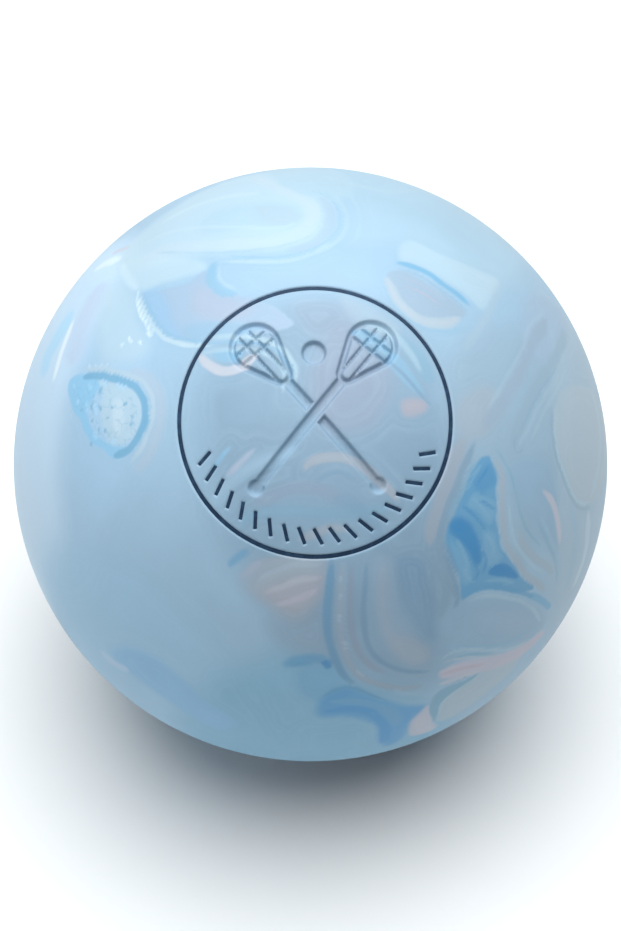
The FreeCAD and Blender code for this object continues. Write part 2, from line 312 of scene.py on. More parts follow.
def emblem_points():
    """Points over the emblem, in rows along every edge and on a loose lattice between."""
    ring_rows = [
        circle_points(RING_RADIUS + side * (RING_WIDTH / 2 + offset), RING_COUNT)
        for side in (-1, 1)
        for offset in STEEP_WALL[0]
    ]
    ring_rows.append(circle_points(RING_RADIUS, RING_COUNT))
    notch_reach = NOTCH_CIRCLE + NOTCH_LENGTH
    notch_rows = [
        contour_points(notch_distance, level, notch_reach, CONTOUR_GRID)
        for level in STEEP_WALL[0]
    ]
    stick_reach = NOTCH_CIRCLE - NOTCH_LENGTH / 2
    stick_rows = [
        contour_points(sticks_distance, level, stick_reach, CONTOUR_GRID)
        for level in SOFT_WALL[0]
    ]
    rise = FLAT * math.sqrt(3) / 2
    rows = np.arange(-EMBLEM_EDGE, EMBLEM_EDGE, rise)
    columns = np.arange(-EMBLEM_EDGE, EMBLEM_EDGE, FLAT)
    lattice = np.stack(np.meshgrid(columns, rows), 2)
    lattice[1::2, :, 0] += FLAT / 2
    lattice = lattice.reshape(-1, 2)
    lattice = lattice[np.hypot(*lattice.T) < RING_RADIUS - RING_WIDTH / 2 - RING_MARGIN]
    groups = [(points, RING_GAP) for points in ring_rows]
    groups += [(points, CONTOUR_GAP) for points in notch_rows + stick_rows]
    groups.append((lattice, LATTICE_GAP))
    flat = thin_out(groups)
    height = np.sqrt(RADIUS**2 - (flat**2).sum(1))
    return np.column_stack([flat, height])


def outer_points():
    """A golden-angle spiral from the emblem's edge round to the back, and rows at the seam."""
    angle = np.linspace(math.asin(EMBLEM_EDGE / RADIUS), math.pi, DENSITY_STEPS)
    gap = np.interp(np.degrees(angle), SPACING_ANGLES, SPACINGS)
    density = 2 * math.pi * RADIUS**2 * np.sin(angle) / (math.sqrt(3) / 2 * gap**2)
    total = np.concatenate([[0], np.cumsum((density[1:] + density[:-1]) / 2 * np.diff(angle))])
    count = int(total[-1])
    polar = np.interp(np.arange(count) + 0.5, total, angle)
    turn = np.arange(count) * math.pi * (3 - math.sqrt(5))
    height = RADIUS * np.cos(polar)
    clear_of_seam = np.abs(height) > SEAM_HALF_WIDTH + FRONT / 3
    polar, turn, height = (values[clear_of_seam] for values in (polar, turn, height))
    spread = RADIUS * np.sin(polar)
    spiral = np.stack([spread * np.cos(turn), spread * np.sin(turn), height], 1)
    seam_count = int(2 * math.pi * RADIUS / FRONT)
    rows = []
    for number, level in enumerate(SEAM_ROWS):
        level = level * SEAM_HALF_WIDTH
        step = (np.arange(seam_count) + number % 2 / 2) / seam_count * 2 * math.pi
        spread = math.sqrt(RADIUS**2 - level**2)
        row = [spread * np.cos(step), spread * np.sin(step), np.full(seam_count, level)]
        rows.append(np.stack(row, 1))
    return np.concatenate([spiral] + rows)


def triangulate(points):
    """Join points on the ball into triangles, through a flat map that keeps circles round."""
    spread = RADIUS / (RADIUS + points[:, 2])
    flat = points[:, :2] * spread[:, None]
    _, _, faces, order, _, _ = delaunay_2d_cdt([Vector(p) for p in flat], [], [], 0, 1e-12)
    index = [sources[0] for sources in order]
    return [[index[corner] for corner in face] for face in faces]


def build_ball():
    """The rubber ball with its relief, and every vertex's place on the smooth sphere."""
    local = np.concatenate([emblem_points(), outer_points()])
    faces = triangulate(local)
    smooth = local @ EMBLEM_FRAME
    smooth /= np.linalg.norm(smooth, axis=1, keepdims=True)
    smooth *= RADIUS
    places = smooth * (1 - relief(smooth) / RADIUS)[:, None]
    mesh = bpy.data.meshes.new("marbled_rubber_ball")
    mesh.from_pydata((places * MM).tolist(), [], faces)
    mesh.update()
    mesh.validate()
    mesh.polygons.foreach_set("use_smooth", [True] * len(mesh.polygons))
    ball = bpy.data.objects.new("marbled_rubber_ball", mesh)
    bpy.context.scene.collection.objects.link(ball)
    return ball, smooth


ball, surface = build_ball()

# ---------------------------------------------------------------- floor and light


def make_floor():
    size = 3.0
    level = -RADIUS * MM
    mesh = bpy.data.meshes.new("floor")
    corners = [(-size, -size, level), (size, -size, level), (size, size, level), (-size, size, level)]
    mesh.from_pydata(corners, [], [(0, 1, 2, 3)])
    floor = bpy.data.objects.new("floor", mesh)
    bpy.context.scene.collection.objects.link(floor)
    return floor


floor = make_floor()


def add_area_light(name, place, size, power, colour):
    """A round softbox that faces the ball's centre; place and size in metres, power in watts."""
    data = bpy.data.lights.new(name, "AREA")
    data.shape = "DISK"
    data.size = size
    data.energy = power
    data.color = colour
    light = bpy.data.objects.new(name, data)
    light.location = place
    light.rotation_euler = (-Vector(place)).to_track_quat("-Z", "Y").to_euler()
    bpy.context.scene.collection.objects.link(light)


add_area_light("overhead_softbox", (0.015, 0.05, 0.5), size=0.73, power=5.65, colour=(1.0, 1.0, 1.0))
add_area_light("left_softbox", (-0.5, -0.05, 0.3), size=0.4, power=0.5, colour=(0.92, 0.97, 1.0))


def make_studio_world():
    """A room that is pale near the horizon and dark overhead, where the softbox hangs."""
    world = bpy.data.worlds.new("studio")
    world.use_nodes = True
    tree = world.node_tree
    place = tree.nodes.new("ShaderNodeTexCoord")
    split = tree.nodes.new("ShaderNodeSeparateXYZ")
    ramp = tree.nodes.new("ShaderNodeMapRange")
    ramp.inputs["From Min"].default_value = 0.0
    ramp.inputs["From Max"].default_value = 0.75
    ramp.inputs["To Min"].default_value = 0.2
    ramp.inputs["To Max"].default_value = 0.0
    tree.links.new(place.outputs["Generated"], split.inputs[0])
    tree.links.new(split.outputs["Z"], ramp.inputs["Value"])
    background = tree.nodes["Background"]
    background.inputs["Color"].default_value = (0.88, 0.95, 1.0, 1)
    tree.links.new(ramp.outputs[0], background.inputs["Strength"])
    bpy.context.scene.world = world


make_studio_world()
bpy.context.scene.view_settings.view_transform = "Standard"

# ---------------------------------------------------------------- pigments, as linear colours

SKY = (0.300, 0.460, 0.600)
PALE_SKY = (0.355, 0.540, 0.715)
GLACIER = (0.310, 0.520, 0.700)
ICE = (0.370, 0.615, 0.800)
# Painted rim light: a paler wash colour that stands for light along the left limb.
PAINTED_RIM_LIGHT = (0.485, 0.650, 0.800)
SEA = (0.220, 0.415, 0.575)
WATER = (0.215, 0.435, 0.600)
AQUA = (0.255, 0.505, 0.715)
TURQUOISE = (0.175, 0.390, 0.575)
STEEL = (0.255, 0.400, 0.535)
DUSK = (0.215, 0.335, 0.450)
MIST = (0.360, 0.515, 0.615)
MILK = (0.430, 0.575, 0.655)
CHALK = (0.520, 0.660, 0.750)
WHITE = (0.660, 0.770, 0.840)
CREAM = (0.315, 0.380, 0.455)
OAT = (0.330, 0.405, 0.475)
SHELL = (0.440, 0.490, 0.565)
IVORY = (0.425, 0.550, 0.640)
BLUSH = (0.480, 0.495, 0.575)
PETAL = (0.450, 0.465, 0.560)
DUSTY = (0.360, 0.365, 0.430)
PEARL = (0.365, 0.475, 0.560)
ROSE = (0.430, 0.400, 0.470)
LILAC = (0.305, 0.428, 0.562)
THISTLE = (0.340, 0.415, 0.530)
LAVENDER = (0.440, 0.560, 0.715)
HEATHER = (0.290, 0.395, 0.505)
MAUVE = (0.250, 0.325, 0.430)
STONE = (0.265, 0.375, 0.490)
SAGE = (0.350, 0.460, 0.545)
HAZE = (0.275, 0.400, 0.505)
LAGOON = (0.195, 0.375, 0.510)
BLUE = (0.230, 0.450, 0.670)
DENIM = (0.225, 0.370, 0.510)
SLATE = (0.185, 0.315, 0.450)
DEEP = (0.155, 0.315, 0.475)
AZURE = (0.125, 0.325, 0.525)
CERULEAN = (0.095, 0.315, 0.585)
COBALT = (0.060, 0.245, 0.490)

# ---------------------------------------------------------------- laying the marbling

PIXELS_PER_MM = 10.2
PATH_STEP = 0.25
LAYERS = ("patch", "band", "core", "line")
# How far past its edge a mark's distance is followed.
REACH = 0.7


def soft_waves(points, wavelength, seed):
    """A smooth random field over points, mostly -1 to 1, three values for each point."""
    draw = np.random.default_rng(seed)
    total = np.zeros((len(points), 3))
    for _ in range(8):
        direction = draw.normal(size=3)
        direction *= 2 * math.pi / wavelength / np.linalg.norm(direction)
        direction *= draw.uniform(0.6, 1.4)
        phase = draw.uniform(0, 2 * math.pi, 3)
        total += np.sin((points @ direction)[:, None] + phase)
    return total / 3


def smooth_path(places, closed):
    """A curve on the ball through places, as points PATH_STEP apart.

    Places are pixels of the photograph, or points on the ball where they have three numbers.
    """
    places = on_ball(places) if len(places[0]) == 2 else np.array(places)
    if closed:
        places = np.concatenate([places[-1:], places, places[:2]])
    else:
        places = np.concatenate([2 * places[:1] - places[1:2], places, 2 * places[-1:] - places[-2:-1]])
    curve = []
    for before, start, end, after in zip(places, places[1:], places[2:], places[3:]):
        steps = max(int(np.linalg.norm(end - start) / PATH_STEP), 1)
        t = (np.arange(steps) / steps)[:, None]
        curve.append(0.5 * (
            2 * start
            + (end - before) * t
            + (2 * before - 5 * start + 4 * end - after) * t**2
            + (3 * start - before - 3 * end + after) * t**3
        ))
    curve.append(places[-2:-1])
    curve = np.concatenate(curve)
    return curve / np.linalg.norm(curve, axis=1, keepdims=True) * RADIUS


class Marbling:
    """Layers of colour over the ball's vertices, each with its distance to the colour's edge."""

    def __init__(self, points):
        ripple = 0.08 * soft_waves(points, 7.0, 3) + 0.05 * soft_waves(points, 2.6, 4)
        self.points = points + ripple
        self.normals = points / RADIUS
        self.edge = {layer: np.full(len(points), -9.0) for layer in LAYERS}
        self.colour = {layer: np.zeros((len(points), 4)) for layer in LAYERS}
        self.ground = np.tile(SKY, (len(points), 1))
        self.veins = np.zeros(len(points))
        self.pull = np.full(len(points), 1e-6)
        self.flow = np.full(len(points), 6e-6)

    def near(self, curve, reach):
        """The vertices round a curve, and the number of the curve's nearest point to each."""
        middle = curve.mean(0)
        radius = np.linalg.norm(curve - middle, axis=1).max() + reach
        chosen = np.nonzero(((self.points - middle) ** 2).sum(1) < radius**2)[0]
        points = self.points[chosen]
        square = (curve**2).sum(1) - 2 * points @ curve.T
        nearest = square.argmin(1)
        return chosen, nearest

    def signed_distance(self, curve, chosen, nearest):
        """Distance to the curve, positive on its left, from the two pieces beside a point."""
        points = self.points[chosen]
        best = np.full(len(chosen), 1e9)
        side = np.zeros(len(chosen))
        for first in (nearest - 1, nearest):
            first = np.clip(first, 0, len(curve) - 2)
            run = curve[first + 1] - curve[first]
            offset = points - curve[first]
            share = np.clip((offset * run).sum(1) / (run**2).sum(1), 0, 1)
            gap = np.linalg.norm(offset - share[:, None] * run, axis=1)
            turn = (np.cross(run, offset) * self.normals[chosen]).sum(1)
            side = np.where(gap < best, np.sign(turn), side)
            best = np.minimum(gap, best)
        return best * side

    def lay(self, layer, chosen, inside, soft, pigment, strength):
        """Stain the ground, or lay a pigment where it is further inside its edge than the last."""
        if layer == "ground":
            share = np.clip(inside / soft + 0.5, 0, 1)
            share = (share**2 * (3 - 2 * share) * strength)[:, None]
            self.ground[chosen] += (np.array(pigment) - self.ground[chosen]) * share
            return
        reach = max(REACH, soft)
        edge = np.clip(inside, -reach, reach) / soft
        better = (edge > self.edge[layer][chosen]) & (inside > -reach * 0.98)
        chosen = chosen[better]
        self.edge[layer][chosen] = edge[better]
        colour = np.empty((len(chosen), 4))
        colour[:, :3] = pigment
        colour[:, 3] = strength if np.isscalar(strength) else strength[better]
        self.colour[layer][chosen] = colour

    def stroke(self, path, *lines, layer="line", closed=False, taper=20):
        """Lines along one path; each is (pigment, width, strength, softness, shift to its left).

        Widths, softnesses, shifts and the taper of the ends are in pixels of the photograph.
        """
        curve = smooth_path(path, closed)
        steps = np.linalg.norm(np.diff(curve, axis=0), axis=1)
        run = np.concatenate([[0], np.cumsum(steps)])
        widest = max(abs(line[4]) + line[1] + 2 * line[3] for line in lines) / PIXELS_PER_MM
        chosen, nearest = self.near(curve, widest + REACH)
        distance = self.signed_distance(curve, chosen, nearest)
        from_end = np.minimum(run, run[-1] - run)[nearest]
        taper = min(taper / PIXELS_PER_MM, run[-1] / 4)
        ends = np.ones(len(chosen)) if closed else np.clip(from_end / taper, 0, 1)
        for pigment, width, strength, soft, shift in lines:
            half = width / 2 / PIXELS_PER_MM * np.sqrt(ends)
            inside = half - np.abs(distance - shift / PIXELS_PER_MM)
            fade = strength * np.clip(ends * 3, 0, 1)
            self.lay(layer, chosen, inside, soft / PIXELS_PER_MM, pigment, fade)
        self.guide(chosen, distance)

    def guide(self, chosen, distance):
        """Let fine streaks near a path run along it."""
        weight = 1 / (distance**2 + 0.5) ** 2
        self.pull[chosen] += weight
        self.flow[chosen] += weight * np.abs(distance)

    def depth_inside(self, outline, reach):
        """How far the vertices near a closed outline lie inside it, negative outside."""
        curve = smooth_path(outline, True)
        chosen, nearest = self.near(curve, reach)
        gap = np.abs(self.signed_distance(curve, chosen, nearest))
        middle = curve.mean(0)
        across = np.cross(middle, [0.3, 0.2, 0.93])
        across /= np.linalg.norm(across)
        upward = np.cross(middle, across) / np.linalg.norm(middle)
        x, y = self.points[chosen] @ across, self.points[chosen] @ upward
        inside = np.zeros(len(chosen), bool)
        for start, end in zip(curve, np.roll(curve, -1, 0)):
            x1, y1, x2, y2 = start @ across, start @ upward, end @ across, end @ upward
            if y1 != y2:
                crossing = x1 + (y - y1) * (x2 - x1) / (y2 - y1)
                inside ^= ((y1 > y) != (y2 > y)) & (x < crossing)
        inside &= self.points[chosen] @ middle > 0
        return chosen, np.where(inside, gap, -gap)

    def patch(self, outline, pigment, strength=1.0, soft=6, layer="patch"):
        """A filled shape; its outline is given once round, and its softness in pixels."""
        soft = soft / PIXELS_PER_MM
        chosen, depth = self.depth_inside(outline, max(soft, REACH) + 1)
        self.lay(layer, chosen, depth, soft, pigment, strength)
        self.guide(chosen, np.abs(depth))

    def vein(self, outline):
        """Fill a shape with a fine net of darker veins."""
        chosen, depth = self.depth_inside(outline, REACH)
        self.veins[chosen] = np.maximum(self.veins[chosen], np.clip(depth / REACH, 0, 1))

    def write(self, mesh):
        ground = mesh.attributes.new("ground_colour", "FLOAT_COLOR", "POINT")
        opaque = np.column_stack([self.ground, np.ones(len(self.ground))])
        ground.data.foreach_set("color", opaque.astype(np.float32).ravel())
        for layer in LAYERS:
            edge = mesh.attributes.new(layer + "_edge", "FLOAT", "POINT")
            edge.data.foreach_set("value", self.edge[layer].astype(np.float32))
            colour = mesh.attributes.new(layer + "_colour", "FLOAT_COLOR", "POINT")
            colour.data.foreach_set("color", self.colour[layer].astype(np.float32).ravel())
        veins = mesh.attributes.new("veins", "FLOAT", "POINT")
        veins.data.foreach_set("value", self.veins.astype(np.float32))
        flow = mesh.attributes.new("flow", "FLOAT", "POINT")
        flow.data.foreach_set("value", (self.flow / self.pull).astype(np.float32))


marbling = Marbling(surface)
stroke = marbling.stroke
patch = marbling.patch
ground = dict(layer="ground")
band = dict(layer="band")

# From here to the sides and the back, every list holds places in the photograph, in its pixels.
# Broad changes of tone, and painted rim light: a paler wash along the left limb.
LEFT_LIMB_PAINTED_LIGHT = [(12, 400), (36, 300), (84, 236), (132, 244), (118, 290), (88, 340), (66, 400), (58, 470),
             (60, 540), (56, 610), (30, 610), (14, 560)]
LEFT_SIDE = [(40, 300), (110, 290), (150, 340), (150, 420), (120, 500), (80, 590), (20, 560), (10, 440)]
LOWER_LEFT = [(40, 560), (110, 560), (190, 620), (250, 690), (300, 760), (200, 745), (90, 680)]
FOOT = [(200, 690), (260, 660), (320, 650), (420, 700), (440, 735), (320, 775), (190, 740)]
MIDDLE = [(196, 400), (230, 330), (300, 300), (400, 320), (452, 400), (470, 500), (462, 600), (440, 680),
          (370, 680), (300, 650), (270, 600), (215, 520)]
TOP_GLOW = [(120, 256), (165, 214), (205, 190), (245, 176), (300, 172), (335, 195), (330, 235), (290, 250),
            (200, 256), (140, 270)]
TOP_BLUE = [(330, 170), (440, 190), (520, 250), (500, 290), (420, 250), (350, 240), (345, 200)]
RIGHT_LIMB = [(540, 290), (590, 360), (612, 470), (596, 560), (550, 640), (548, 560), (560, 450),
              (545, 360)]
RIGHT_FOLDS = [(455, 350), (530, 330), (560, 400), (560, 480), (520, 560), (495, 480), (455, 440)]
patch(LEFT_SIDE, PALE_SKY, 0.7, 70, **ground)
# The pale wash along the left limb is painted rim light.
patch(LEFT_LIMB_PAINTED_LIGHT, PAINTED_RIM_LIGHT, 0.95, 60, **ground)
patch(LOWER_LEFT, GLACIER, 0.7, 70, **ground)
patch(FOOT, WATER, 0.95, 60, **ground)
patch(MIDDLE, DUSK, 0.95, 70, **ground)
patch(TOP_GLOW, MILK, 0.7, 26, **ground)
patch(TOP_BLUE, MIST, 0.6, 40, **ground)
patch(RIGHT_FOLDS, HAZE, 0.8, 50, **ground)
patch(RIGHT_LIMB, SAGE, 0.55, 50, **ground)

# The cream curl at the top and the paler arcs round it.
BLUE_CAP = [(268, 168), (300, 165), (340, 172), (352, 192), (330, 198), (300, 194), (278, 182)]
INNER_BLUE = [(196, 228), (215, 212), (255, 204), (292, 206), (308, 215), (292, 226), (250, 228),
              (212, 234)]
INNER_LILAC = [(255, 207), (285, 208), (300, 216), (286, 224), (262, 220)]
CURL = [(252, 176), (270, 185), (292, 195), (308, 204), (312, 218), (298, 234), (262, 242), (210, 245),
        (168, 249), (136, 264)]
CURL_RIDGE = [(256, 177), (273, 185), (294, 195), (310, 204), (316, 214), (308, 228)]
LAVENDER_ARC = [(318, 196), (328, 206), (331, 220), (324, 234), (308, 246), (284, 252)]
OUTER_ARC = [(308, 188), (328, 193), (341, 204), (347, 218), (343, 232), (330, 246), (308, 256), (280, 262),
             (250, 262), (222, 260)]
FARTHEST_ARC = [(332, 186), (350, 196), (360, 214), (358, 232), (344, 248)]
UPPER_SWEEP = [(142, 246), (168, 233), (205, 227), (245, 227), (280, 227), (300, 221)]
SWEEP_SHADE = [(150, 254), (200, 252), (250, 250), (290, 244), (316, 232)]
FAR_LEFT_SWEEP = [(160, 224), (190, 208), (230, 196), (262, 194)]
CAP_RIGHT = [(306, 172), (330, 178), (360, 186), (392, 192), (418, 191)]
DOTTED_FOOT = [(216, 261), (241, 260), (265, 261), (286, 262), (310, 254), (330, 242)]
patch(BLUE_CAP, MIST, 0.9, 12, **ground)
patch(INNER_BLUE, MIST, 0.9, 14, **ground)
patch(INNER_LILAC, PEARL, 0.5, 12, **ground)
stroke(CURL, (IVORY, 16, 0.7, 9, 0), **band)
stroke(CURL_RIDGE, (IVORY, 8, 0.9, 5, 0))
stroke(LAVENDER_ARC, (LILAC, 12, 0.5, 8, 0), **band)
stroke(OUTER_ARC, (MIST, 5, 0.9, 3.5, 0), (SEA, 3, 0.45, 3, -7))
stroke(FARTHEST_ARC, (MIST, 4, 0.5, 3.5, 0))
stroke(UPPER_SWEEP, (MILK, 6, 0.5, 4, 0))
stroke(SWEEP_SHADE, (SKY, 3.5, 0.5, 3, 0))
stroke(FAR_LEFT_SWEEP, (MILK, 11, 0.9, 8, 0))
stroke(CAP_RIGHT, (MIST, 11, 0.9, 7, 0), **band)
stroke(DOTTED_FOOT, (MILK, 3, 0.5, 2.5, 0))

# The lilac patch at the upper left with its blue end, rim and crescent.
LILAC_HOOD = [(122, 262), (150, 256), (198, 260), (206, 268), (186, 277), (160, 284), (141, 289), (126, 280)]
LILAC_PATCH = [(143, 293), (160, 290), (185, 284), (206, 270), (214, 286), (228, 293), (252, 298),
               (280, 311), (292, 326), (262, 334), (225, 341), (186, 341), (166, 336), (152, 322),
               (145, 308)]
BLUE_END = [(144, 292), (156, 289), (166, 300), (172, 318), (184, 336), (166, 336), (152, 322), (145, 308)]
PINK_GLOW = [(196, 286), (230, 296), (250, 310), (222, 322), (192, 312)]
LILAC_FOOT = [(186, 326), (230, 322), (262, 328), (226, 340), (190, 341)]
CRESCENT = [(209, 266), (216, 262), (216, 277), (223, 287), (238, 293), (226, 298), (213, 294), (205, 281)]
CRESCENT_LIGHT = [(218, 264), (219, 276), (226, 285), (240, 291)]
PATCH_RIM = [(141, 292), (143, 305), (149, 319), (158, 331), (170, 339), (187, 344), (212, 345)]
WHITE_OUTLINE = [(139, 288), (138, 302), (141, 315), (147, 326), (153, 334)]
LOOSE_FLECKS = [[(119, 350), (125, 341)], [(137, 340), (143, 344)], [(128, 336), (133, 345)],
                [(146, 330), (152, 337)]]
ROSE_AT_LIMB = [(112, 254), (120, 250), (130, 247)]
LIMB_LIGHT = [(94, 270), (108, 262), (122, 258)]
HOOD_LIGHT = [(122, 262), (124, 272), (130, 282), (140, 289)]
patch(LILAC_HOOD, MILK, 0.7, 12, **ground)
stroke(HOOD_LIGHT, (CHALK, 9, 0.5, 7, 0))
patch(LILAC_PATCH, LILAC, 1.0, 5)
patch(PINK_GLOW, THISTLE, 0.8, 16, **band)
patch(BLUE_END, BLUE, 0.45, 14, **band)
patch(LILAC_FOOT, SEA, 0.5, 12, **band)
patch(CRESCENT, SEA, 0.75, 6, **band)
stroke(CRESCENT_LIGHT, (MIST, 4, 0.7, 3, 0))
stroke(PATCH_RIM, (MILK, 5, 0.9, 3, 0), (SEA, 4, 0.6, 3, 5))
stroke(WHITE_OUTLINE, (WHITE, 3.5, 0.7, 2.5, 0), taper=12)
for fleck in LOOSE_FLECKS:
    stroke(fleck, (WHITE, 4, 0.6, 2.5, 0), taper=6)
stroke(ROSE_AT_LIMB, (BLUSH, 8, 0.7, 5, 0), taper=8)
stroke(LIMB_LIGHT, (WHITE, 12, 0.7, 8, 0))

# Streaks along the left edge.
EDGE_BLUE = [(74, 308), (65, 324), (55, 342), (47, 358), (45, 378)]
EDGE_WHITE = [(74, 318), (66, 340), (60, 358), (53, 384)]
EDGE_LAVENDER = [(104, 280), (92, 304), (80, 330), (74, 366)]
MILKY_SIDE = [(108, 288), (134, 290), (140, 322), (150, 345), (134, 362), (102, 360), (98, 320)]
PINK_THREAD = [(104, 280), (92, 300), (84, 322)]
stroke(EDGE_LAVENDER, (LAVENDER, 38, 0.75, 20, 0), **ground)
patch(MILKY_SIDE, MILK, 0.6, 26, **ground)
stroke(EDGE_BLUE, (ICE, 28, 0.95, 14, 0), **band)
stroke(EDGE_WHITE, (WHITE, 9, 0.85, 5, 0), taper=30)
stroke(PINK_THREAD, (LAVENDER, 8, 0.8, 6, 0))

# The eye of agate at the left.
EYE = [(68, 386), (72, 377), (80, 373), (100, 374), (120, 377), (135, 383), (143, 390), (147, 400),
       (148, 414), (147, 424), (142, 434), (137, 445), (129, 455), (118, 461), (111, 457), (104, 449),
       (93, 443), (86, 434), (82, 420), (74, 412), (70, 399)]
EYE_LEFT = [(68, 386), (72, 377), (82, 374), (94, 378), (100, 386), (94, 398), (88, 408), (88, 420),
            (94, 431), (104, 441), (116, 447), (126, 449), (120, 459), (110, 457), (103, 449), (92, 442),
            (85, 432), (80, 420), (74, 412), (70, 399)]
EYE_INSIDE = [(98, 382), (110, 382), (122, 385), (133, 389), (140, 398), (141, 411), (139, 424),
              (134, 436), (126, 443), (115, 444), (107, 437), (102, 424), (100, 408), (103, 392)]
EYE_CORE = [(113, 400), (120, 396), (124, 404), (124, 420), (121, 433), (115, 434), (112, 422), (112, 408)]
EYE_RIM = [(82, 377), (95, 377), (108, 378), (120, 380), (130, 383), (138, 389), (143, 397), (145, 408),
           (145, 420), (141, 431), (136, 441), (129, 450), (120, 455), (111, 457)]
EYE_CREAM = [(84, 370), (104, 370), (120, 373), (133, 376), (143, 381), (150, 390), (153, 402), (152, 418),
             (148, 432), (143, 446), (135, 458), (126, 467)]
EYE_HALO = [(126, 370), (142, 374), (154, 384), (160, 400), (159, 420), (155, 440), (146, 460),
            (132, 474)]
EYE_LASHES = [[(89, 369), (90, 362)], [(95, 368), (96, 362)], [(101, 368), (102, 363)],
              [(107, 368), (108, 363)], [(113, 369), (115, 364)]]
EYE_DASHES = [[(102, 386), (99, 396)], [(92, 402), (91, 412)], [(100, 403), (100, 412)],
              [(90, 420), (94, 421)], [(97, 424), (100, 431)], [(113, 403), (111, 410)],
              [(106, 415), (109, 419)], [(122, 403), (129, 404)], [(130, 414), (135, 420)],
              [(133, 421), (129, 428)], [(102, 430), (108, 431)], [(79, 410), (83, 412)],
              [(92, 396), (96, 397)], [(88, 441), (94, 444)]]
EYE_LIGHTS = [[(73, 384), (76, 388)], [(88, 384), (92, 392)], [(77, 399), (79, 406)],
              [(86, 400), (87, 414)], [(95, 402), (96, 416)], [(92, 430), (97, 438)],
              [(110, 440), (118, 443)], [(100, 384), (108, 386)], [(116, 384), (126, 388)]]
patch(EYE, PALE_SKY, 0.95, 4)
patch(EYE_INSIDE, MILK, 0.6, 6, **band)
patch(EYE_LEFT, AQUA, 1.0, 5, **band)
patch(EYE_CORE, CHALK, 0.5, 9, layer="core")
stroke(EYE_RIM, (TURQUOISE, 8, 1.0, 3.5, 0), taper=10)
stroke(EYE_CREAM, (IVORY, 5, 0.8, 3.5, 0))
stroke(EYE_HALO, (SHELL, 12, 0.35, 9, 0), **ground)
for lash in EYE_LASHES:
    stroke(lash, (CHALK, 4, 0.6, 3, 0), taper=4)
for dash in EYE_DASHES:
    stroke(dash, (TURQUOISE, 4, 0.9, 3, 0), taper=3)
for light in EYE_LIGHTS:
    stroke(light, (ICE, 5, 0.6, 4, 0), taper=3)
marbling.vein(EYE)

# Inside the ring: pale arcs at the upper left round a shell-coloured smile.
OUTER_BROW = [(198, 345), (220, 342), (246, 342), (268, 347), (284, 358), (292, 374), (290, 396)]
INNER_BROW = [(204, 338), (235, 336), (262, 340), (282, 350), (294, 366), (297, 386)]
SMILE = [(197, 352), (205, 362), (215, 369), (226, 372), (238, 369), (248, 362), (257, 352)]
BLUE_BELOW_BROW = [(212, 352), (226, 348), (243, 350), (240, 358), (226, 363), (216, 359)]
MAUVE_FIELD = [(334, 326), (362, 330), (382, 350), (392, 378), (388, 404), (366, 428), (330, 430),
               (312, 404), (314, 362)]
MAUVE_TOP = [(296, 304), (330, 300), (356, 312), (350, 334), (315, 336), (298, 322)]
PALE_CROWN = [(340, 296), (372, 308), (398, 330), (372, 334), (350, 318)]
TEAL_WEDGE = [(352, 330), (372, 332), (396, 352), (414, 374), (424, 392), (408, 386), (388, 364),
              (366, 346)]
TEAL_EDGE = [(364, 340), (384, 357), (402, 373), (420, 392), (434, 408)]
SECOND_WEDGE = [(398, 336), (416, 346), (432, 364), (436, 382), (422, 376), (408, 356)]
PALE_STRIP = [(364, 322), (390, 332), (408, 350), (424, 374)]
PINK_SPOT = [(402, 402), (412, 398), (426, 400), (426, 410), (414, 416), (404, 414)]
CREAM_ARC = [(302, 474), (309, 463), (325, 457), (345, 458), (362, 466), (376, 478), (390, 491), (400, 504)]
BLUE_SLANT = [(206, 512), (232, 482), (262, 462), (298, 446)]
MAUVE_SLANT = [(250, 510), (280, 492), (312, 488), (346, 500)]
LOW_BLUE_SLANT = [(236, 530), (258, 514), (290, 512), (340, 514), (392, 508)]
CREAM_ARC_SHADE = [(312, 480), (326, 470), (342, 468), (358, 476)]
TEAL_DASH = [(231, 446), (220, 458), (210, 472)]
SHELL_DASH = [(256, 448), (242, 462), (226, 478)]
LOW_CREAM = [(296, 543), (314, 534), (332, 529), (352, 531)]
LOW_SHADE = [(330, 496), (352, 506), (372, 526), (382, 552)]
patch(MAUVE_FIELD, MAUVE, 0.85, 26, **ground)
patch(MAUVE_TOP, MAUVE, 0.5, 22, **ground)
patch(PALE_CROWN, SAGE, 0.45, 14, **ground)
stroke(OUTER_BROW, (SEA, 4, 0.6, 3.5, 0), (MIST, 5, 0.6, 4, -8))
stroke(INNER_BROW, (MIST, 6, 0.8, 4, 0))
patch(BLUE_BELOW_BROW, SEA, 0.9, 5, **band)
stroke(SMILE, (SHELL, 10, 1.0, 4, 0), layer="core", taper=14)
patch(TEAL_WEDGE, SEA, 0.8, 6)
stroke(TEAL_EDGE, (SLATE, 4, 0.9, 3, 0))
patch(SECOND_WEDGE, LAGOON, 0.6, 8)
stroke(PALE_STRIP, (MIST, 7, 0.6, 5, 0))
patch(PINK_SPOT, DUSTY, 0.9, 10)
stroke(CREAM_ARC, (CREAM, 10, 0.95, 4.5, 0))
stroke(BLUE_SLANT, (SKY, 14, 0.6, 12, 0), **ground)
stroke(MAUVE_SLANT, (MAUVE, 12, 0.6, 10, 0), **ground)
stroke(LOW_BLUE_SLANT, (LAGOON, 12, 0.5, 10, 0), **ground)
stroke(CREAM_ARC_SHADE, (SLATE, 6, 0.5, 5, -4), **ground)
stroke(TEAL_DASH, (SEA, 5, 1.0, 3, 0))
stroke(SHELL_DASH, (THISTLE, 6, 0.8, 4, 0))
stroke(LOW_CREAM, (CREAM, 9, 0.8, 6, 0))
stroke(LOW_SHADE, (SLATE, 14, 0.5, 10, 0), **ground)

